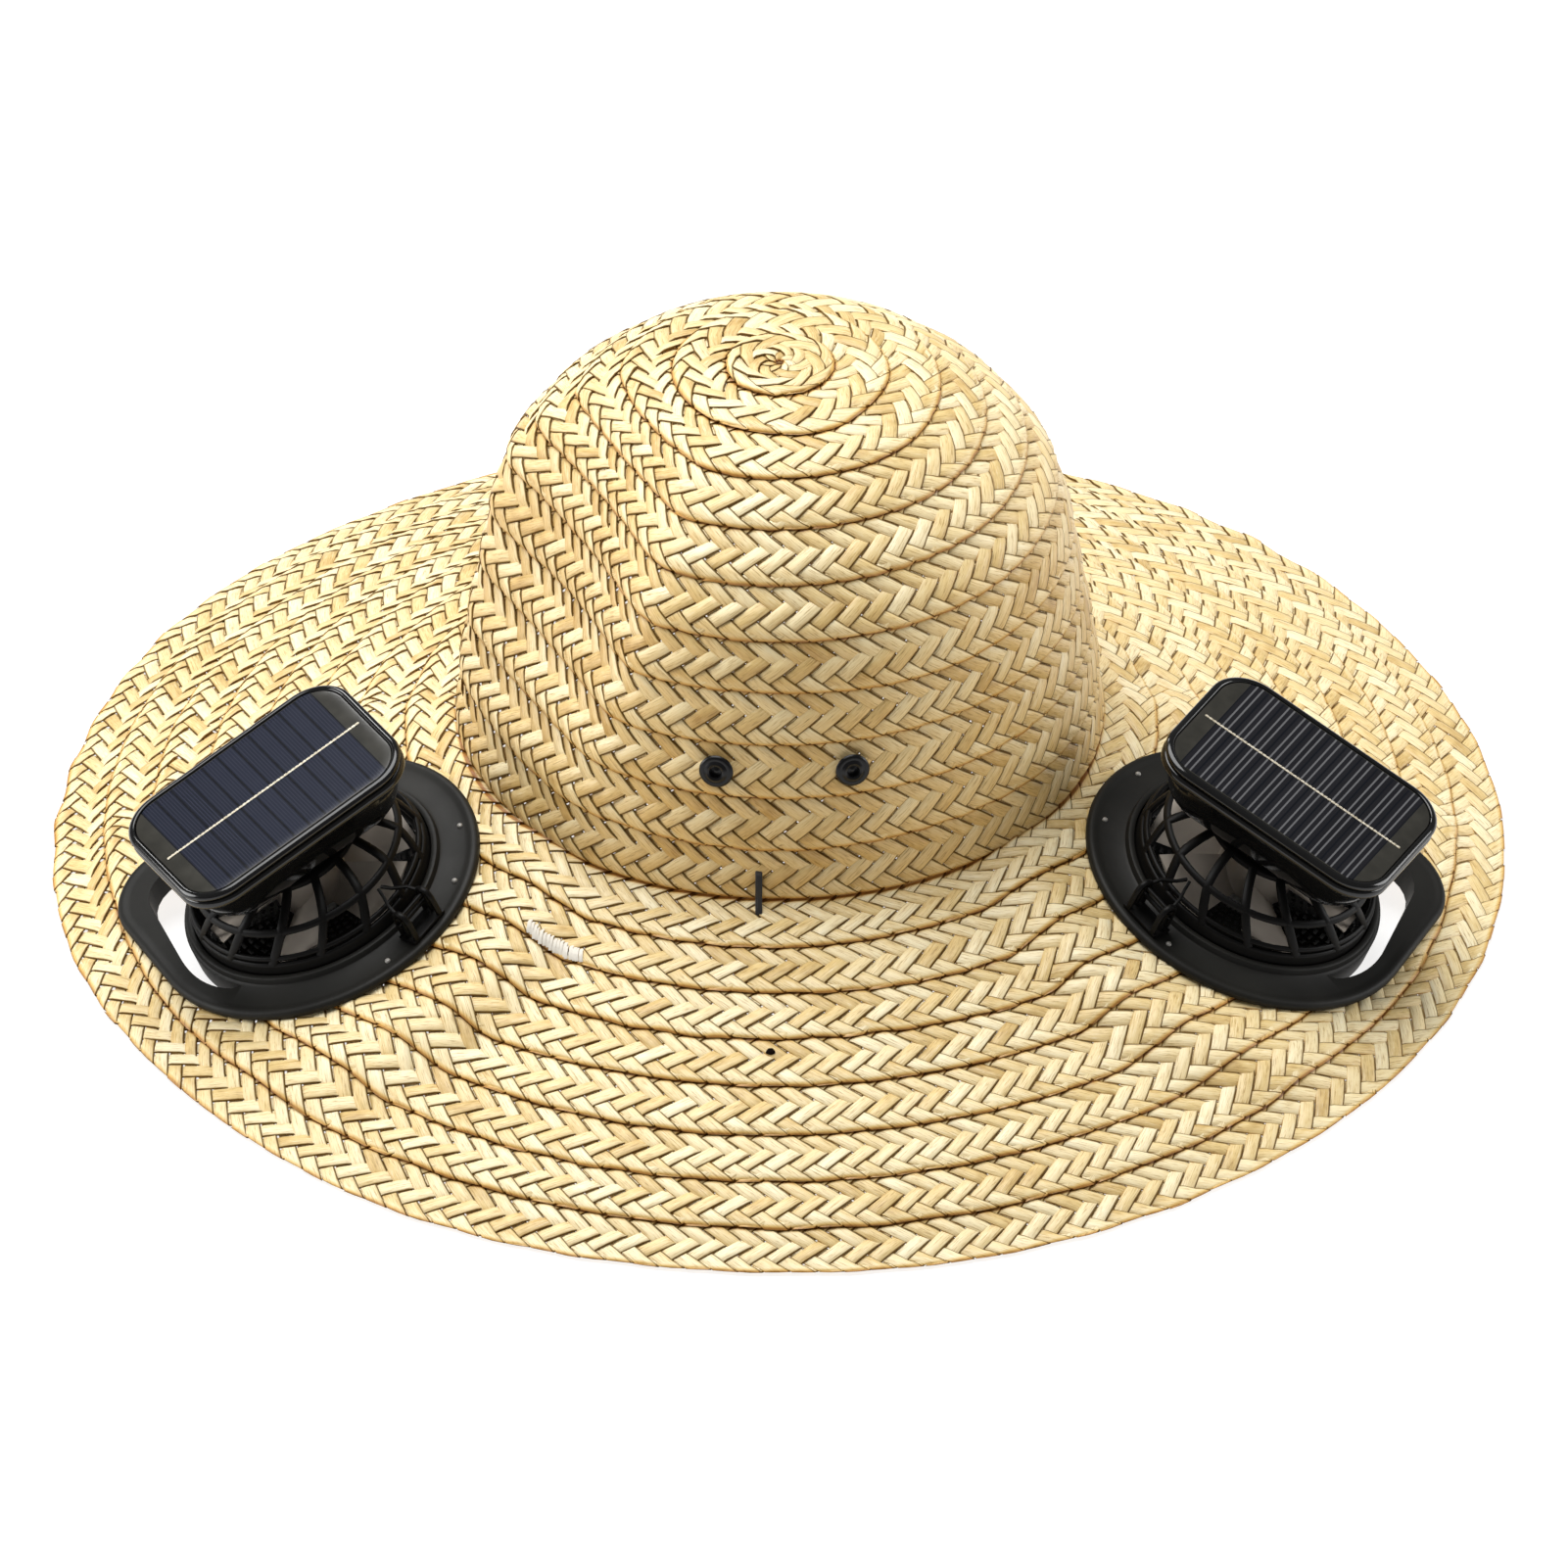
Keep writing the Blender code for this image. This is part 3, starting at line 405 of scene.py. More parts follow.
def straw_piece(name, rows):
    """One mesh of whole rows."""
    spot = np.concatenate([row["spot"] for row in rows])
    strands, along, around_ = spot.shape[:3]
    corner = np.arange(spot[..., 0].size).reshape(spot.shape[:3])
    beside = np.roll(corner, -1, 2)
    faces = np.stack([corner[:, :-1], beside[:, :-1], beside[:, 1:], corner[:, 1:]], -1)
    uv = strips(strands, along, around_)
    first = np.concatenate([np.arange(len(row["spot"])) < len(row["spot"]) // 2 for row in rows])
    faces[first], uv[first] = faces[first][..., ::-1], uv[first][..., ::-1, :]

    spot, faces, uv = spot.reshape(-1, 3), faces.reshape(-1, 4), uv.reshape(-1, 4, 2)
    keep = ~cut_out(spot)[faces].all(1)
    faces, uv = faces[keep], uv[keep]
    used = np.zeros(len(spot), bool)
    used[faces] = True
    faces = (np.cumsum(used) - 1)[faces]

    mesh = bpy.data.meshes.new(name)
    mesh.vertices.add(int(used.sum()))
    mesh.vertices.foreach_set("co", spot[used].astype(np.float32).ravel())
    mesh.loops.add(faces.size)
    mesh.loops.foreach_set("vertex_index", faces.astype(np.int32).ravel())
    mesh.polygons.add(len(faces))
    mesh.polygons.foreach_set("loop_start", np.arange(0, faces.size, 4, dtype=np.int32))
    mesh.polygons.foreach_set("use_smooth", np.ones(len(faces), bool))
    mesh.uv_layers.new(name="OFBake").uv.foreach_set("vector", uv.astype(np.float32).ravel())
    for key in ("colour", "side", "along", "below", "above"):
        kind, field = ("FLOAT_VECTOR", "vector") if key == "colour" else ("FLOAT", "value")
        values = np.concatenate([row[key] for row in rows]).reshape(len(spot), -1)[used]
        mesh.attributes.new("strand_" + key, kind, "POINT").data.foreach_set(field, values.astype(np.float32).ravel())
    mesh.update()
    print(f"{name}: {strands} strands, {2 * len(faces)} triangles")
    return add_object(name, mesh)


# %% Plait the crown and the brim
# A row's height at its hidden edge, where the lap ends, near its outer edge and at that edge.
LAPPED, AT_FOOT, AT_RIM = [(-0.0014, -0.0011, *ends) for ends in ((0.0005, 0), (-0.0001, -0.0005), (-0.0008, -0.0012))]
FIRST_START = 0.0012  # the crown's middle, where the plait begins
brim_s = np.arange(BRIM_ROWS + 1) * ROW_RUN / math.cos(BRIM_SLOPE)
still = waves(0, 1)
crown_rows, brim_rows = [], []
seam = still
for row in range(len(crown_s) - 1):
    foot = row + 2 == len(crown_s)
    next_seam = still if foot else seam_waves(0.0004, 5)
    inner, lap = (FIRST_START, 0.0) if row == 0 else (crown_s[row], LAP)
    crown_rows.append(lay_row(crown_point, inner, crown_s[row + 1], seam, next_seam, lap, AT_FOOT if foot else LAPPED,
                              (crown_r[row] + crown_r[row + 1]) / 2))
    seam = next_seam
for row in range(BRIM_ROWS):
    last = row + 1 == BRIM_ROWS
    next_seam = seam_waves(0.0006, 7, 0.0004 if last else 0.00022)
    outer = brim_s[row + 1] - (0.0006 if last else 0)
    brim_rows.append(lay_row(brim_point, brim_s[row], outer, seam, next_seam, 0.0020 if row == 0 else LAP,
                             AT_RIM if last else LAPPED, CROWN_RADIUS + (row + 0.5) * ROW_RUN))
    seam = next_seam

straw = [
    straw_piece("crown_top_plait", crown_rows[:8]), straw_piece("crown_side_plait", crown_rows[8:]),
    straw_piece("brim_inner_plait", brim_rows[:5]), straw_piece("brim_outer_plait", brim_rows[5:]),
]
for plait, node in zip(straw, ("crown", "crown", "brim", "brim")):
    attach(plait, "hat")
    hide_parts(node)

# %% [markdown]
# ## The straw's finish
#
# Dried straw is a warm gold, but no two strands are alike: some are nearly cream, a few are brown, and all have fine
# fibres that run along them and a soft gloss. So the finish starts from each strand's own three random numbers, and
# then adds streaks that are long in the strand's direction and thin across it. Those come from a noise that is fed
# with the strand's own numbers, and not with its place in the room, so that the fibres follow every fold.
# The brightest streaks are lifted towards cream as a painted highlight. Painted shade darkens the gaps between
# ribbons, the seams and the folds' lip, and it darkens the crown's upright walls to a deeper gold than the brim.

# %% A small helper for finishes
class Finish:
    """A material in the making, with short ways to add nodes to it."""

    def __init__(self, name):
        self.look = bpy.data.materials.new(name)
        self.look.use_nodes = True
        self.tree = self.look.node_tree
        self.shader = self.tree.nodes["Principled BSDF"]

    def fill(self, socket, value):
        """Give a socket a link or a constant. None leaves it alone."""
        if isinstance(value, bpy.types.NodeSocket):
            self.tree.links.new(value, socket)
        elif value is not None:
            socket.default_value = value

    def node(self, kind, *inputs, **settings):
        """A node with its sockets filled in order."""
        made = self.tree.nodes.new("ShaderNode" + kind)
        for key, value in settings.items():
            setattr(made, key, value)
        for socket, value in zip(made.inputs, inputs):
            self.fill(socket, value)
        return made

    def maths(self, operation, *values):
        return self.node("Math", *values, operation=operation).outputs[0]

    def ranged(self, value, low, high, to_low, to_high):
        return self.node("MapRange", value, low, high, to_low, to_high).outputs[0]

    def mix(self, share, first, second, blend="MIX"):
        return self.node("MixRGB", share, first, second, blend_type=blend).outputs[0]

    def noise(self, place, scale, detail=2.0, roughness=0.5):
        """A cloudy number between 0 and 1."""
        made = self.node("TexNoise", place)
        for key, value in (("Scale", scale), ("Detail", detail), ("Roughness", roughness)):
            made.inputs[key].default_value = value
        return made.outputs["Fac"]

    def ramp(self, factor, *stops):
        """Colours between stops, each a place from 0 to 1 and a colour."""
        made = self.node("ValToRGB", factor)
        band = made.color_ramp
        while len(band.elements) < len(stops):
            band.elements.new(0.5)
        for element, (at, colour) in zip(band.elements, stops):
            element.position = at
            element.color = (*colour, 1)
        return made.outputs[0]

    def surface(self, colour, roughness, shine=0.5, metallic=0.0, bump=None):
        """Fill the shader. A bump is a height, a strength and a distance."""
        for key, value in (("Base Color", colour), ("Roughness", roughness), ("Specular IOR Level", shine),
                           ("Metallic", metallic)):
            self.fill(self.shader.inputs[key], value)
        if bump:
            raised = self.node("Bump")
            for key, value in zip(("Height", "Strength", "Distance"), bump):
                self.fill(raised.inputs[key], value)
            self.fill(self.shader.inputs["Normal"], raised.outputs[0])
        return self.look


sample = Finish("sample")
print("a finish is a new node tree, and this is its shader:", sample.shader.name)
bpy.data.materials.remove(sample.look)

# %% Straw
WHITE = (1, 1, 1)
dried = Finish("straw")


def strand(key, output="Fac"):
    """One of the numbers that each strand keeps."""
    return dried.node("Attribute", attribute_name="strand_" + key).outputs[output]


numbers = dried.node("SeparateXYZ", strand("colour", "Vector")).outputs
side, along = strand("side"), strand("along")
own = dried.maths("MULTIPLY", numbers[2], 90.0)
fibre_at = dried.node("CombineXYZ", dried.maths("MULTIPLY", side, 6.0), dried.maths("MULTIPLY", along, 0.45), own)
fibre = dried.noise(fibre_at.outputs[0], 2.2, 5.0, 0.65)
blotch = dried.noise(dried.node("CombineXYZ", side, along, own).outputs[0], 0.9, 3.0)
tone = dried.maths("ADD", dried.maths("MULTIPLY", numbers[0], 0.62), dried.maths("MULTIPLY", blotch, 0.38))

# In the band of folds the strands are nearly one tone.
above = dried.ranged(strand("above"), 0.0, 4.0, 0.0, 1.0)
folds = dried.ranged(above, 0.35, 0.9, 0.55, 0.0)
tone = dried.maths("ADD", tone, dried.maths("MULTIPLY", dried.maths("SUBTRACT", 0.66, tone), folds))
colour = dried.ramp(tone, (0.08, (0.55, 0.36, 0.12)), (0.28, (0.80, 0.61, 0.28)), (0.52, (0.89, 0.73, 0.41)),
                    (0.85, (0.98, 0.88, 0.60)))
streak = dried.ramp(fibre, (0.33, (0.50, 0.38, 0.23)), (0.43, (0.86, 0.80, 0.70)), (0.52, (0.98, 0.97, 0.95)))
colour = dried.mix(0.85, colour, streak, "MULTIPLY")
# Painted highlight: the brightest fibre streaks are lifted towards cream, as glints along the strands.
colour = dried.mix(dried.ranged(fibre, 0.58, 0.74, 0.0, 0.5), colour, (0.97, 0.93, 0.80, 1))

# Painted shade: dark lines along the ribbons' edges, darkest on one side, where each meets the gap to its neighbour;
# a painted shadow where a row comes out from under the lap of the row above; and painted shade on the folds' lip
# as it curls under.
painted_gap_shade = dried.ramp(side, (0.0, (0.72, 0.60, 0.42)), (0.05, WHITE), (0.86, WHITE), (0.93, (0.16, 0.11, 0.04)))
below = dried.ranged(strand("below"), -1.5, 2.5, 0.0, 1.0)
shade = dried.ramp(below, (0.10, WHITE), (0.24, (0.42, 0.22, 0.06)), (0.445, (0.40, 0.205, 0.055)),
                   (0.515, (0.88, 0.76, 0.52)), (0.68, WHITE))
painted_lip_shade = dried.ramp(above, (0.0, (0.55, 0.33, 0.12)), (0.12, (0.86, 0.70, 0.40)), (0.34, WHITE))
for share, darker in ((0.95, painted_gap_shade), (1.0, shade), (1.0, painted_lip_shade)):
    colour = dried.mix(share, colour, darker, "MULTIPLY")

# Painted shade: upright walls are darkened to a deeper gold, standing in for the shade and warm bounce light on them.
upright = dried.node("SeparateXYZ", dried.node("NewGeometry").outputs["Normal"]).outputs[2]
painted_wall_shade = dried.mix(1.0, colour, (0.93, 0.81, 0.62, 1), "MULTIPLY")
colour = dried.mix(dried.ranged(upright, 0.2, 0.85, 1.0, 0.0), colour, painted_wall_shade)
dried.surface(colour, dried.ranged(fibre, 0.0, 1.0, 0.55, 0.32), dried.ranged(side, 0.84, 0.92, 0.5, 0.04),
              bump=(fibre, 0.5, 0.00012))
for plait in straw:
    plait.data.materials.append(dried.look)
print("straw finish on", len(straw), "pieces")

# %% [markdown]
# ## The fan units
#
# Each unit is a handful of black mouldings. Their plain models are right in size but faceted, and a moulding is never
# quite sharp: every edge has a small radius, and that radius is what catches the light. A Bevel modifier would do it,
# but here most pieces are outlines stacked on each other, so the roundings are simply more outlines. The helper joins
# a stack of outlines into a skin. An outline of one point is a tip.

# %% Helpers for moulded pieces
def skin(outlines, ring=False):
    """Corners and faces that join outlines of equal count. A ring joins its last outline to its first."""
    count = max(len(outline) for outline in outlines)
    corners, starts, faces = [], [], []
    for outline in outlines:
        starts.append((len(corners), len(outline)))
        corners.extend(outline)
    pairs = list(zip(starts, starts[1:])) + ([(starts[-1], starts[0])] if ring else [])
    for (a, na), (b, nb) in pairs:
        for i in range(count):
            j = (i + 1) % count
            faces.append(list(dict.fromkeys([a + i % na, a + j % na, b + j % nb, b + i % nb])))
    if not ring:
        faces.extend([start + i for i in range(size)] for start, size in (starts[0], starts[-1]) if size > 1)
    return corners, faces


def tube(path, faces_up, wide, thick, sides=8, closed=False):
    """A bar with rounded edges along a path. faces_up is the direction of its thickness, for all points or for each."""
    path = np.array(path, float)
    faces_up = np.broadcast_to(np.array(faces_up, float), path.shape)
    along = np.roll(path, -1, 0) - np.roll(path, 1, 0) if closed else np.gradient(path, axis=0)
    along = along / np.linalg.norm(along, axis=1, keepdims=True)
    beside = np.cross(along, faces_up)
    beside /= np.linalg.norm(beside, axis=1, keepdims=True)
    upright = np.cross(beside, along)
    angles = (np.arange(sides) + 0.5) / sides * 2 * math.pi
    c, s = (np.sign(wave) * np.abs(wave) ** 0.7 * size / 2
            for wave, size in ((np.cos(angles), wide), (np.sin(angles), thick)))
    outlines = path[:, None] + beside[:, None] * c[None, :, None] + upright[:, None] * s[None, :, None]
    return skin([list(map(tuple, outline)) for outline in outlines], ring=closed)


def join(*shapes):
    corners, faces = [], []
    for shape_corners, shape_faces in shapes:
        faces.extend([[i + len(corners) for i in face] for face in shape_faces])
        corners.extend(shape_corners)
    return corners, faces


def piece(name, shape, look, unit=None, body="hat", instead_of=None, sharp=40, uv=None):
    """One object from corners and faces, in a fan unit's directions or in the hat's own."""
    corners, faces = shape
    flat = np.array(corners, float)
    mesh = bpy.data.meshes.new(name)
    mesh.from_pydata((unit.place(flat) if unit else flat).tolist(), [], faces)
    if uv:
        layer = mesh.uv_layers.new(name="Place")
        spots = np.array([flat[loop.vertex_index][:2] for loop in mesh.loops])
        layer.uv.foreach_set("vector", uv(spots).astype(np.float32).ravel())
    built = bmesh.new()
    built.from_mesh(mesh)
    bmesh.ops.recalc_face_normals(built, faces=built.faces)
    built.to_mesh(mesh)
    built.free()
    mesh.shade_smooth()
    mesh.set_sharp_from_angle(angle=math.radians(sharp))
    made = add_object(name, mesh)
    mesh.materials.append(look)
    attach(made, body)
    if instead_of:
        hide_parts(instead_of)
    print(f"{name}: {sum(len(face) - 2 for face in faces)} triangles")
    return made


UP = (0, 0, 1)
one_bar = tube([(0, 0, 0), (1, 0, 0)], UP, 0.1, 0.1)
print("one bar of eight sides between two points:", len(one_bar[1]), "faces")

# %% [markdown]
# ### Plastics
#
# The flange is matte, with the fine grain that a spark-worn mould leaves, and with greyish wear where hands rub. The
# guard and the bracket are a deeper black, and the panel's housing is polished. All are nearly black, so what one sees
# of them is mostly their gloss: the roughness matters more than the colour. The blades are a warm grey, and the same
# recipe with more shine does for the small steel rivets.

# %% Plastics and rivets
def black_plastic(name, colour, roughness, grain, worn, shine=0.5):
    made = Finish(name)
    place = made.node("TexCoord").outputs["Object"]
    broad, fine = made.noise(place, 55, 4), made.noise(place, 2400)
    tint = made.ramp(broad, (0.35, colour), (0.75, tuple(c * worn for c in colour)))
    rough = made.ranged(broad, 0.0, 1.0, roughness * 1.15, roughness * 0.8)
    return made.surface(tint, rough, shine, bump=(fine, grain, 0.00005))


matte_black = black_plastic("matte black", (0.0090, 0.0086, 0.0072), 0.52, 0.35, 1.8, 0.2)
guard_black = black_plastic("guard black", (0.0030, 0.0028, 0.0026), 0.45, 0.15, 1.6, 0.14)
gloss_black = black_plastic("gloss black", (0.004, 0.004, 0.004), 0.12, 0.0, 1.3)
rivet_steel = black_plastic("rivet steel", (0.22, 0.21, 0.19), 0.35, 0.2, 1.6, 0.9)
blade_grey = black_plastic("blade grey", (0.36, 0.315, 0.265), 0.5, 0.2, 1.25)
print("finishes so far:", sorted(look.name for look in bpy.data.materials if look.name.islower()))

# %% [markdown]
# ### The base
#
# An egg-shaped flange lies on the straw. Its thin end is a carrying loop. A ring stands up in the middle, and the
# guard sits in it; a collar goes down through the straw. All of that is one section taken round the fan's axis, so it
# is a stack of outlines that ends where it began. The loop's gap is a crescent, which is simplest to cut afterwards
# with a Boolean.

# %% The base
GUARD_RADIUS = 0.0387
RING_INNER, RING_OUTER = GUARD_RADIUS + 0.0003, GUARD_RADIUS + 0.0025
COLLAR_RADIUS, COLLAR_LOW = 0.0358, -0.0050
LOOP_HALF, LOOP_FULL = math.radians(74), math.radians(48)
LOOP_SIDE_BAND, LOOP_END_BAND = 0.007, 0.0105
turns = np.arange(192) * 2 * math.pi / 192


def spun(angle, x, y, z):
    """A point turned round the fan's axis."""
    c, s = math.cos(angle), math.sin(angle)
    return x * c - y * s, x * s + y * c, z


def outline(distance, height, angles=turns):
    return [spun(a, d, 0, height) for d, a in zip(np.broadcast_to(distance, angles.shape), angles)]


def turned(profile, every=1):
    """Outlines of a profile turned round the fan's axis, with fewer corners where every is more than 1."""
    return [outline(distance, height, turns[::every]) for distance, height in profile]


def egg(inset):
    return reach(turns, FLANGE_RADIUS - inset, NOSE_RADIUS - inset)


base_section = [
    (COLLAR_RADIUS, COLLAR_LOW), (COLLAR_RADIUS, -0.0013), (0.0361, -0.0010), (RING_INNER, -0.0010),
    (RING_INNER, 0.0043), (RING_INNER + 0.0002, 0.0048), (RING_INNER + 0.0006, 0.0050), (RING_OUTER - 0.0006, 0.0050),
    (RING_OUTER - 0.0002, 0.0048), (RING_OUTER, 0.0043), (RING_OUTER + 0.0003, 0.0031), (RING_OUTER + 0.0011, 0.0026),
]
flange_section = [
    (0.0045, 0.0023), (0.0032, 0.0023), (0.0024, 0.0026), (0.0014, 0.0026), (0.0006, 0.0023), (0.0001, 0.0016),
    (0.0, 0.0008), (0.0001, 0.0002), (0.0058, 0.0002), (0.0058, COLLAR_LOW),
]


def crescent(height):
    inner = RING_OUTER + 0.0012
    steps = LOOP_HALF * (2 * np.arange(49) / 48 - 1)
    whole = reach(steps + LOOP_TURN, FLANGE_RADIUS - LOOP_SIDE_BAND, NOSE_RADIUS - LOOP_END_BAND)
    past = np.maximum(0, (np.abs(steps) - LOOP_FULL) / (LOOP_HALF - LOOP_FULL))
    outer = inner + (whole - inner) * np.sqrt(np.maximum(0, 1 - past ** 2))
    return outline(outer[1:-1], height, steps[1:-1] + LOOP_TURN) + outline(inner, height, steps[::-1] + LOOP_TURN)


def make_base(unit):
    section = turned(base_section) + [outline(egg(inset), h) for inset, h in flange_section]
    base = piece(f"fan_base_moulding_{unit.name}", skin(section, ring=True), matte_black, unit,
                 instead_of="fan_base_" + unit.name)
    cutter = piece("crescent_" + unit.name, skin([crescent(-0.02), crescent(0.02)]), matte_black, unit)
    cut = base.modifiers.new("loop gap", "BOOLEAN")
    cut.operation, cut.solver, cut.object = "DIFFERENCE", "EXACT", cutter
    bpy.context.view_layer.update()
    cut_mesh = bpy.data.meshes.new_from_object(base.evaluated_get(bpy.context.evaluated_depsgraph_get()))
    base.modifiers.clear()
    base.data = cut_mesh
    cut_mesh.set_sharp_from_angle(angle=math.radians(40))
    bpy.data.objects.remove(cutter)


print(f"the flange reaches {egg(0).max() * 1000:.0f} mm from the fan's axis, at its loop")

# %% [markdown]
# Below the ring, three arms carry the motor's seat. A grille of thin spokes and close rings fills the space between
# them and keeps hair out of the blades; its tall rings stand so close that they also block the view through the fan,
# a dark screen standing in for the shade behind the blades. Small steel rivets hold the flange to the straw.

# %% The rear grille and the rivets
ARMS, SPOKES = 3, 44
SPOKE_ENDS = ((0.0113, 0.0004), (0.0356, 0.0008))  # distance from the axis, and half the width there
SPOKE_LOW, SPOKE_HIGH = -0.0045, -0.0017
GRILLE_RINGS, GRILLE_LOW, GRILLE_HIGH, GRILLE_WIDE = np.linspace(0.0135, 0.0338, 9), -0.0046, -0.0016, 0.0013
RIVET_INSET = 0.0052
RIVET_DEGREES = {"left": (165, 137, 95, 235, 265), "right": (197, 165, 101, 235, 265)}


def make_grille(unit):
    bars = [skin(turned(((0.0115, -0.0048), (0.0115, -0.0027), (0.0111, -0.0026)), 4))]
    for k in range(ARMS):
        angle = 2 * math.pi * (k + 0.5) / ARMS
        bars.append(tube([spun(angle, r, 0, -0.0037) for r in (0.0085, 0.02, 0.03, 0.0372)], UP, 0.005, 0.0021))
    for k in range(SPOKES):
        angle = 2 * math.pi * k / SPOKES
        bars.append(skin([[spun(angle, x, y, z) for y, z in ((-w, SPOKE_LOW), (w, SPOKE_LOW), (w, SPOKE_HIGH),
                                                             (-w, SPOKE_HIGH))] for x, w in SPOKE_ENDS]))
    # The close, tall rings also screen off the view through the fan: a dark screen standing in for shade behind the
    # blades.
    for r in GRILLE_RINGS:
        bars.append(skin(turned(((r, GRILLE_LOW), (r, GRILLE_HIGH), (r + GRILLE_WIDE, GRILLE_HIGH),
                                 (r + GRILLE_WIDE, GRILLE_LOW)), 3), ring=True))
    piece(f"motor_arms_{unit.name}", join(*bars), matte_black, unit)


def make_rivets(unit):
    rivets = []
    for angle in np.radians(RIVET_DEGREES[unit.name]):
        middle = spun(angle, reach(np.array([angle]), FLANGE_RADIUS, NOSE_RADIUS)[0] - RIVET_INSET, 0, 0)
        head = turned(((0.0009, 0.0021), (0.0009, 0.0026), (0.0007, 0.0029), (0.0004, 0.0030)), 16)
        rivets.append(skin([[tuple(np.add(middle, spot)) for spot in ring] for ring in head]))
    piece(f"flange_rivets_{unit.name}", join(*rivets), rivet_steel, unit)


for unit in units.values():
    make_base(unit)
    make_grille(unit)
    make_rivets(unit)

# %% [markdown]
# ### The guard
#
# A dome of thin bars keeps fingers off the blades. Fifteen ribs lean the same way as they climb, and two rings tie
# them, one near the foot and one half way up. The plain model has flat bands here; real bars are rounded, so each is a
# tube along its own path on the dome.

# %% The guard
RIBS, RIB_LEAN = 15, math.radians(16)


def dome(share):
    """Distance from the axis and height on the dome, from its foot at 0 to its top at 1."""
    return [np.interp(share, (0, 0.55, 1), known) + bulge * np.sin(math.pi * share)
            for known, bulge in (((0.0378, 0.0317, 0.0210), 0.0012), ((0.0080, 0.0166, 0.0236), 0.0010))]


for unit in units.values():
    steps = np.linspace(0, 1, 12)
    r, h = dome(steps)
    out, up = np.gradient(h), -np.gradient(r)
    bars = []
    for k in range(RIBS):
        angle = 2 * math.pi * k / RIBS + RIB_LEAN * steps
        c, s = np.cos(angle), np.sin(angle)
        bars.append(tube(np.stack([r * c, r * s, h], -1), np.stack([out * c, out * s, up], -1), 0.0029, 0.0019))
    for share, wide in ((0.10, 0.0018), (0.52, 0.0024)):
        path, away = ([spun(a, d, 0, z) for a in turns[::2]] for d, z in (dome(share), (0.75, 0.66)))
        bars.append(tube(path, away, wide, 0.0018, closed=True))
    foot = [(0.0387, -0.0007), (0.0387, 0.0078), (0.0384, 0.0085), (0.0378, 0.0088), (0.0371, 0.0085),
            (0.0369, 0.0078), (0.0369, -0.0007)]
    top = [(0.0150, 0.0228), (0.0220, 0.0226), (0.0219, 0.0240), (0.0212, 0.0245), (0.0152, 0.0245)]
    bars += [skin(turned(foot), ring=True), skin(turned(top, 2), ring=True)]
    piece(f"fan_guard_bars_{unit.name}", join(*bars), guard_black, unit, instead_of="fan_guard_" + unit.name, sharp=50)

# %% [markdown]
# ### The rotor and motor
#
# Behind the bars is a rotor with six blades. It turns, so it rides on the rotor's own body and not on the hat's. A
# blade is a sheet that is steep at the hub and flatter at the tip, with a little hollow across it.

# %% The rotor and motor
BLADES, BLADE_ROOT, BLADE_TIP, BLADE_HEIGHT, BLADE_THICK = 6, 0.0113, 0.0338, 0.0072, 0.0006
hub = [(0.0106, 0.0030), (0.0121, 0.0030), (0.0121, 0.0130), (0.0117, 0.0143), (0.0106, 0.0150), (0.0004, 0.0152)]
can = [(0.0004, -0.0023), (0.0094, -0.0023), (0.0100, -0.0018), (0.0100, 0.0102), (0.0094, 0.0109), (0.0013, 0.0110),
       (0.0012, 0.0137), (0.0004, 0.0137)]


def blade_section(share):
    """The blade's outline at a share of its length: its upper face one way, and its lower face back."""
    half_chord, pitch = (0.0120 + share * 0.0110) / 2, math.radians(29 + 17 * (0.5 - share))
    c, s = math.cos(pitch), math.sin(pitch)
    section = []
    for face in (1, -1):
        for t in np.linspace(-face, face, 7):
            lift = BLADE_THICK * (face * (1 - 0.75 * t * t) - (1 - t * t))
            section.append((BLADE_ROOT + share * (BLADE_TIP - BLADE_ROOT), t * half_chord * c - lift * s,
                            BLADE_HEIGHT + t * half_chord * s + lift * c))
    return section


blade, blade_faces = skin([blade_section(share) for share in np.linspace(0, 1, 9)])
for unit in units.values():
    parts = [skin(turned(hub, 4))]
    for k in range(BLADES):
        parts.append(([spun(2 * math.pi * k / BLADES, *corner) for corner in blade], blade_faces))
    piece(f"fan_blades_{unit.name}", join(*parts), blade_grey, unit, body="rotor_" + unit.name,
          instead_of="fan_rotor_" + unit.name, sharp=50)

steel = Finish("motor steel")
brushed = steel.noise(steel.node("TexCoord").outputs["Object"], 900)
steel.surface(steel.ramp(brushed, (0.3, (0.38, 0.37, 0.35)), (0.7, (0.62, 0.61, 0.58))), 0.35, metallic=1.0)
for unit in units.values():
    piece(f"motor_can_{unit.name}", skin(turned(can, 4)), steel.look, unit, instead_of="fan_motor_" + unit.name)

# %% [markdown]
# ### The solar panel on its housing
#
# A polished dish widens from the guard's top to a frame with a double lip, and the cells lie in it under clear resin.
# The outlines are rectangles with round corners, turned a little. The bright line that runs along the front of the
# frame in the photograph is nothing more than the upper lip's small radius.

# %% The housing
PANEL_LENGTH, PANEL_WIDTH, PANEL_CORNER = 0.0815, 0.0570, 0.0140
PANEL_TURN = math.radians(5.5)


def plate(long_share, wide_share, inset, height, steps=14):
    """A rectangle with round corners, turned as the panel is."""
    corner = PANEL_CORNER * wide_share - inset
    x_half = PANEL_LENGTH * long_share / 2 - inset - corner
    y_half = PANEL_WIDTH * wide_share / 2 - inset - corner
    ring = []
    for quarter, (across, along) in enumerate(((1, 1), (-1, 1), (-1, -1), (1, -1))):
        for angle in math.pi / 2 * (quarter + np.arange(steps + 1) / steps):
            ring.append(spun(PANEL_TURN, across * x_half + corner * math.cos(angle),
                             along * y_half + corner * math.sin(angle), height))
    return ring


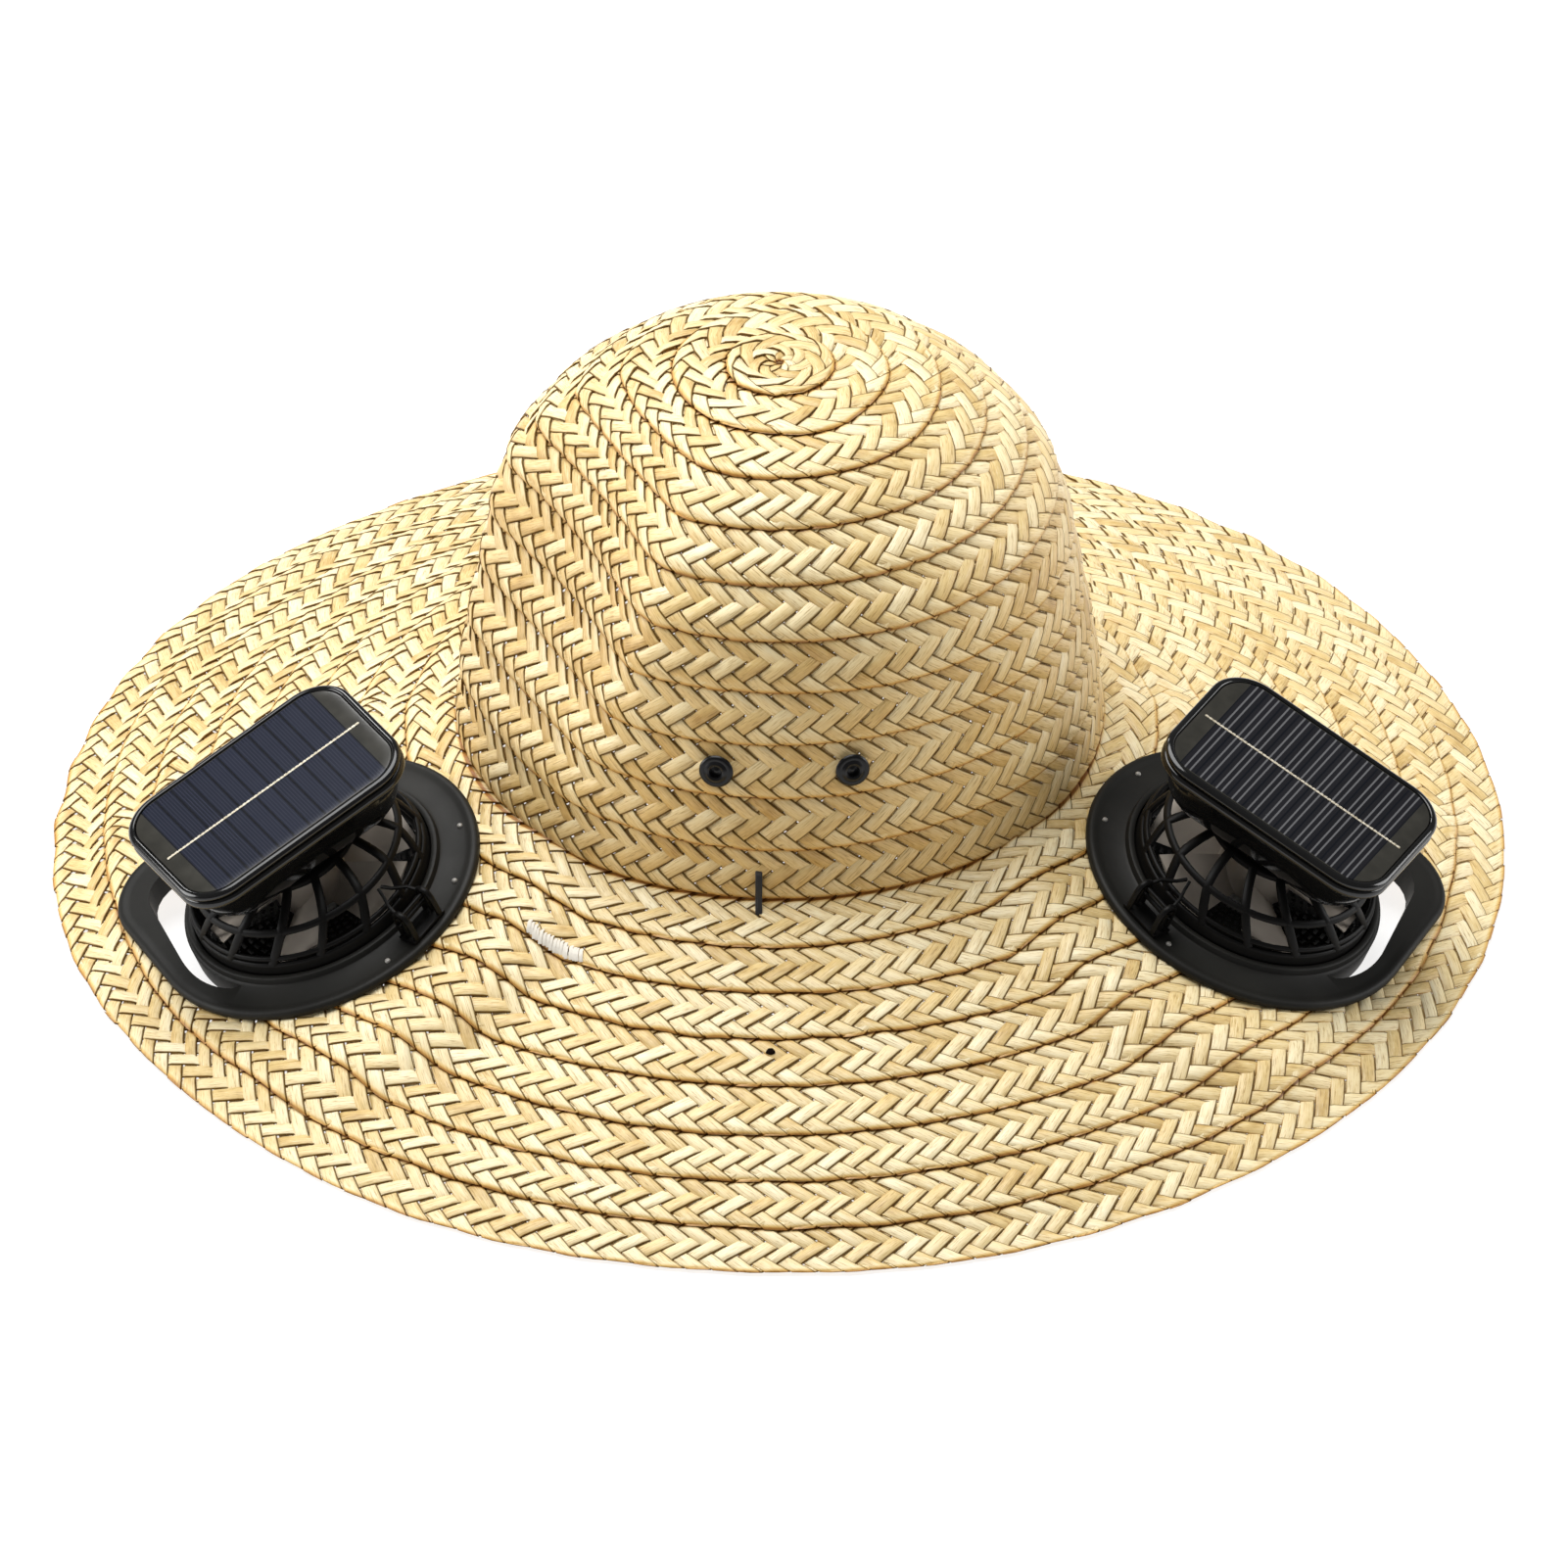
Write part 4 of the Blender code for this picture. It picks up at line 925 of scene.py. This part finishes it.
hull = [(0.66, 0.64, 0.0248), (0.70, 0.68, 0.0249), (0.735, 0.72, 0.0258), (0.80, 0.80, 0.0276), (0.85, 0.855, 0.0300),
        (0.89, 0.895, 0.0335), (0.92, 0.92, 0.0370), (0.94, 0.935, 0.0392)]
lips = [(0.0018, 0.0395), (0.0006, 0.0397), (0.0001, 0.0403), (0.0, 0.0410), (0.0001, 0.0418), (0.0004, 0.0424),
        (0.0010, 0.0427), (0.0014, 0.0428), (0.0014, 0.0432), (0.0006, 0.0434), (0.0001, 0.0438), (0.0, 0.0443),
        (0.0001, 0.0447), (0.0004, 0.0451), (0.0009, 0.0454), (0.0014, 0.0456), (0.0019, 0.0456), (0.0023, 0.0454),
        (0.0024, 0.0451), (0.0024, 0.0441)]
for unit in units.values():
    rings = [plate(a, b, 0, h) for a, b, h in hull] + [plate(1, 1, inset, h) for inset, h in lips]
    piece(f"panel_housing_{unit.name}", skin(rings), gloss_black, unit, instead_of="panel_body_" + unit.name,
          sharp=60)

# %% [markdown]
# The two panels are not quite alike. The left one shows eleven broad dark blue cells; the right one many thin light
# lines in threes. Both are drawn by the finish from a map that holds the place on the panel as shares of the printed
# field: a wave along the panel, cut off sharply, gives the lines. A cream conductor runs down the middle; it has some
# height, so it is a real strip with small solder beads.

# %% The cells
def cells(name, groups, fingers, light, dark, darker):
    made = Finish(name)
    x, y = made.node("SeparateXYZ", made.node("UVMap", uv_map="Place").outputs[0]).outputs[:2]

    def line(position, width, soft):
        """1 near whole numbers of position, 0 elsewhere."""
        part = made.maths("FRACT", made.maths("ADD", position, 0.5))
        return made.ranged(made.maths("ABSOLUTE", made.maths("SUBTRACT", part, 0.5)), width, width + soft, 1.0, 0.0)

    def within(position, soft):
        """1 up to a half from the middle, 0 beyond it."""
        return made.ranged(made.maths("ABSOLUTE", position), 0.5, 0.5 + soft, 1.0, 0.0)

    along = made.maths("MULTIPLY", made.maths("ADD", x, 0.5), groups)
    dirt = made.noise(made.node("TexCoord").outputs["Object"], 160)
    tint = made.noise(made.node("CombineXYZ", made.maths("FLOOR", along), 0.0, 0.0).outputs[0], 3.7)
    colour = made.ramp(tint, (0.3, darker), (0.7, dark))
    colour = made.mix(line(made.maths("MULTIPLY", along, fingers), 0.10, 0.08), colour, (*light, 1))
    colour = made.mix(line(along, 0.045, 0.03), colour, (0.002, 0.003, 0.006, 1))
    ends = made.ramp(dirt, (0.3, (0.024, 0.023, 0.019)), (0.7, (0.036, 0.034, 0.028)))
    colour = made.mix(made.maths("MULTIPLY", within(x, 0.003), within(y, 0.005)), ends, colour)
    return made.surface(colour, made.ranged(dirt, 0.0, 1.0, 0.24, 0.28), 0.3)


CELL_LENGTH, CELL_WIDTH = 0.064, 0.0505
STRIP_HALF, STRIP_TOP, BEAD_TOP, BEAD_GAP = 0.0362, 0.04540, 0.04545, 0.00142
cell_looks = {
    "left": cells("cells left", 11.0, 6.0, (0.022, 0.025, 0.040), (0.012, 0.015, 0.029), (0.007, 0.009, 0.018)),
    "right": cells("cells right", 11.0, 3.0, (0.12, 0.12, 0.125), (0.012, 0.012, 0.015), (0.006, 0.006, 0.008)),
}
cream = Finish("conductor")
tinned = cream.noise(cream.node("TexCoord").outputs["Object"], 1500)
cream.surface(cream.ramp(tinned, (0.35, (0.52, 0.45, 0.32)), (0.65, (0.86, 0.80, 0.66))), 0.4, metallic=0.3)


def on_panel(spots):
    """The map: places on the printed field, from minus to plus a half each way."""
    c, s = math.cos(PANEL_TURN), math.sin(PANEL_TURN)
    x, y = spots.T
    return np.stack([(x * c + y * s) / CELL_LENGTH, (y * c - x * s) / CELL_WIDTH], -1)


def along_panel(places, height, wide, thick):
    return tube([spun(PANEL_TURN, x, 0, height) for x in places], UP, wide, thick, sides=6)


for unit in units.values():
    field = [(0.0026, 0.0441), (0.0026, 0.0449), (0.0028, 0.0452), (0.0033, 0.0453), (0.0060, 0.04535)]
    piece(f"solar_cells_{unit.name}", skin([plate(1, 1, inset, h) for inset, h in field]), cell_looks[unit.name], unit,
          instead_of="solar_panel_" + unit.name, uv=on_panel)
    strip = along_panel(np.linspace(-STRIP_HALF, STRIP_HALF, 12), STRIP_TOP, 0.0006, 0.0002)
    beads = [along_panel(x + np.array((-0.0005, -0.0003, 0.0003, 0.0005)), BEAD_TOP, 0.0009, 0.0003)
             for x in np.arange(-0.0355, 0.0356, BEAD_GAP)]
    piece(f"conductor_{unit.name}", join(strip, *beads), cream.look, unit)

# %% [markdown]
# ### The bracket on the flange
#
# On the side towards the crown's front there is a small bracket: two slotted plates on a foot, bars between them, and
# two thin arms that run up to the guard. What it does can't be seen, so it is only given its look.

# %% The bracket
BRACKET_TURN, BRACKET_RADIUS = math.radians(114), (RING_OUTER + FLANGE_RADIUS) / 2
BRACKET_HALF = 0.0056


def on_flange(x, y, z):
    """x out from the fan's axis, y along the ring, z up."""
    return spun(BRACKET_TURN, BRACKET_RADIUS + x, y, z)


crosswise = spun(BRACKET_TURN, 0, 1, 0)
bars = [tube([on_flange(0, y, 0.0034) for y in (-0.0072, -0.0036, 0.0036, 0.0072)], UP, 0.0074, 0.0017)]
for y in (-BRACKET_HALF, BRACKET_HALF):
    hoop = [(-0.0028, 0.0035), (-0.0028, 0.0105), (-0.0020, 0.0130), (0, 0.0138), (0.0020, 0.0130), (0.0028, 0.0105),
            (0.0028, 0.0035)]
    arm = [(-0.0010, y, 0.0125), (-0.0050, y * 0.8, 0.0140), (-0.0095, y * 0.35, 0.0140), (-0.0125, y * 0.1, 0.0150)]
    bars.append(tube([on_flange(x, y, z) for x, z in hoop], crosswise, 0.0015, 0.0019))
    bars.append(tube([on_flange(0, y, z) for z in (0.0035, 0.0080, 0.0110)], crosswise, 0.0016, 0.0014))
    bars.append(tube([on_flange(*spot) for spot in arm], UP, 0.0011, 0.0011, sides=6))
for x, z in ((0.0, 0.0122), (-0.0012, 0.0085)):
    bars.append(tube([on_flange(x, y, z) for y in (-0.0068, -0.002, 0.002, 0.0068)], UP, 0.0014, 0.0014))
for unit in units.values():
    piece(f"bracket_{unit.name}", join(*bars), guard_black, unit, instead_of="latch_" + unit.name, sharp=50)

# %% [markdown]
# ### Small things on the straw
#
# Two black eyelets let air through the crown's front. Below them a thick black thread is sewn across the joint of
# crown and brim. On the left of the brim a few pale threads hold a mended place, and near the front one strand has a
# dark knot. Each is made as itself: a turned ring, bent tubes and a low bump.

# %% The eyelets
EYELET_LIFT = 0.0019
eyelet_black = black_plastic("eyelet black", (0.0030, 0.0028, 0.0032), 0.3, 0.1, 2.0, 0.3)
eyelet_ring = [(0.0017, -0.0026), (0.0017, 0.0006), (0.0020, 0.0013), (0.0026, 0.0016), (0.0032, 0.0013),
               (0.0036, 0.0010), (0.0044, 0.0011), (0.0050, 0.0008), (0.0053, 0.0002), (0.0048, -0.0006),
               (0.0023, -0.0008), (0.0023, -0.0026)]
# A black cap closes each eyelet's hole: a dark sheet that stands in for the shade inside the crown.
eyelet_shade_cap = [(0.0018, -0.0002), (0.0018, 0.0), (0.0008, 0.0001), (0.0005, 0.0003)]
for name, (middle, axis) in zip(("left", "right"), holes):
    normal = axis.normalized()
    level = Vector((-normal.y, normal.x, 0)).normalized()
    directions = np.array([level, normal.cross(level), normal])
    lifted = np.array(middle + normal * EYELET_LIFT)
    ring, back = ([np.array(circle) @ directions + lifted for circle in turned(profile, 4)]
                  for profile in (eyelet_ring, eyelet_shade_cap))
    piece("eyelet_ring_" + name, join(skin(ring, ring=True), skin(back)), eyelet_black, instead_of="eyelet_" + name)


# %% The black stitch
def spot_on(surface, s, theta):
    return surface(np.array([s]), np.array([theta]))[0]


thread_black = black_plastic("black thread", (0.012, 0.011, 0.010), 0.6, 0.8, 1.5)
bars = []
for k, shift in enumerate((-0.0005, 0.0004, 0.0)):
    wall = spot_on(crown_point, crown_s[-1] - 0.0085, -0.0795) + (shift, -0.0009, 0)
    fold = np.array((-0.0079 + shift, -0.1008, CROWN_FOOT + 0.0012 + 0.0003 * k))
    brim = spot_on(brim_point, 0.0048, -0.0765) + (shift, 0, 0.0004)
    knots = np.array([wall + (0, 0.0022, 0.0008), wall, (wall + fold) / 2 + (0, -0.0006, 0), fold, brim,
                      brim + (0, -0.0004, -0.0022)])
    at = np.linspace(0, 5, 26)
    path = np.stack([np.interp(at, np.arange(6), column) for column in knots.T], -1)
    bars.append(tube(path, (1, 0, 0), 0.0013, 0.0013))
piece("black_stitch", join(*bars), thread_black)

# %% The pale threads and the knot
THREADS, THREAD_START, THREAD_STEP, THREAD_TURN = 17, -0.662, 0.0092, 0.014
thread_pale = black_plastic("pale thread", (0.70, 0.66, 0.58), 0.7, 0.8, 1.2, 0.2)
straw_up = np.array(Vector((-0.22, -0.32, 0.92)).normalized())
bars = []
for k in range(THREADS):
    start = THREAD_START + THREAD_STEP * k + rng.normal(0, 0.0012)
    down = np.linspace(0.0286 + rng.normal(0, 0.0004), 0.0331 + rng.normal(0, 0.0002), 5)
    path = brim_point(down, start + np.linspace(0, THREAD_TURN, 5)) + straw_up * 0.0014
    path[[0, -1]] -= straw_up * 0.0009
    bars.append(tube(path, straw_up, 0.0013, 0.0005, sides=6))
piece("pale_threads", join(*bars), thread_pale)

knot_brown = black_plastic("knot", (0.006, 0.003, 0.0015), 0.8, 0.3, 2.0, 0.05)
middle = spot_on(brim_point, 0.0547, -0.034) + (0, 0, 0.0001)
slant = np.array((0, -math.sin(BRIM_SLOPE), math.cos(BRIM_SLOPE)))
downhill = np.array((0, -math.cos(BRIM_SLOPE), -math.sin(BRIM_SLOPE)))
knot = []
for d, h in ((0.0014, 0.0), (0.0013, 0.0007), (0.0010, 0.0009), (0.0005, 0.0010)):
    sideways = [(d * math.cos(a) * (1 + 0.15 * math.sin(3 * a)), 0, 0) for a in turns[::8]]
    knot.append([tuple(middle + side + downhill * d * 0.75 * math.sin(a) + slant * h)
                 for side, a in zip(sideways, turns[::8])])
piece("knot_in_straw", skin(knot), knot_brown)

# %% [markdown]
# ## The room
#
# The picture was taken from the front, 35 degrees above the table, and nothing in it grows towards the viewer: the
# brim is a true ellipse. A very long lens far away gives that. The hat was turned by about one degree.
#
# Most of the light comes from a wide soft box overhead, so level surfaces are bright and the crown's upright wall is
# about half as bright. Two weaker lamps at the sides keep its flanks lighter than its front, and a small one behind
# gives the glints on the straw. The floor is a light table: it glows a little, which keeps the background white also
# under the brim.

# %% The camera
PIXEL = 0.0003  # what one of the picture's 1601 pixels spans at the hat
SENSOR, DISTANCE = 36, 18
ELEVATION, TURN = math.radians(35), math.radians(0.9)
camera = add_object("camera", bpy.data.cameras.new("camera"))
camera.data.sensor_width = SENSOR
camera.data.lens = SENSOR * DISTANCE / (1601 * PIXEL)
camera.data.clip_end = 100
back = Vector((-math.sin(TURN) * math.cos(ELEVATION), -math.cos(TURN) * math.cos(ELEVATION), math.sin(ELEVATION)))
right = Vector((math.cos(TURN), -math.sin(TURN), 0))
upward = back.cross(right)
middle = right * (800.5 - 796.0) * PIXEL + upward * (873.0 - 800.5) * PIXEL
camera.location = middle + back * DISTANCE
camera.rotation_mode = "QUATERNION"
camera.rotation_quaternion = Matrix([right, upward, back]).transposed().to_quaternion()
bpy.context.scene.camera = camera
print(f"camera: {camera.data.lens:.0f} mm lens, {DISTANCE} m away")

# %% Floor and lights
FLOOR_HALF, FLOOR_HEIGHT = 6, -0.0003
floor_mesh = bpy.data.meshes.new("floor")
corners = [(x * FLOOR_HALF, y * FLOOR_HALF, FLOOR_HEIGHT) for x, y in ((-1, -1), (1, -1), (1, 1), (-1, 1))]
floor_mesh.from_pydata(corners, [], [(0, 1, 2, 3)])
floor = add_object("floor", floor_mesh)
glow = Finish("light table")
glow.surface((0.28, 0.28, 0.28, 1), 0.9)
glow.fill(glow.shader.inputs["Emission Color"], (1, 1, 1, 1))
glow.fill(glow.shader.inputs["Emission Strength"], 0.82)
floor_mesh.materials.append(glow.look)

world = bpy.data.worlds.new("studio")
bpy.context.scene.world = world
world.use_nodes = True
world.node_tree.nodes["Background"].inputs[0].default_value = (1, 1, 1, 1)
world.node_tree.nodes["Background"].inputs[1].default_value = 0.17


def soft_light(name, place, aim, size, watts):
    light = add_object(name, bpy.data.lights.new(name, "AREA"))
    light.data.shape = "DISK"
    light.data.size, light.data.energy = size, watts
    light.location = place
    light.rotation_mode = "QUATERNION"
    light.rotation_quaternion = (Vector(aim) - Vector(place)).to_track_quat("-Z", "Y")
    print(f"{name}: {watts} W, {size} m across")


soft_light("overhead", (-0.30, 0.30, 1.7), (0, 0, 0.05), 1.6, 38)
soft_light("behind", (-0.55, 1.3, 1.1), (0, 0, 0.08), 0.35, 4)
soft_light("left side", (-1.5, 0.10, 0.5), (0, 0, 0.08), 0.8, 11)
soft_light("right side", (1.5, 0.20, 0.5), (0, 0, 0.08), 0.8, 9)
bpy.context.scene.view_settings.view_transform = "Standard"
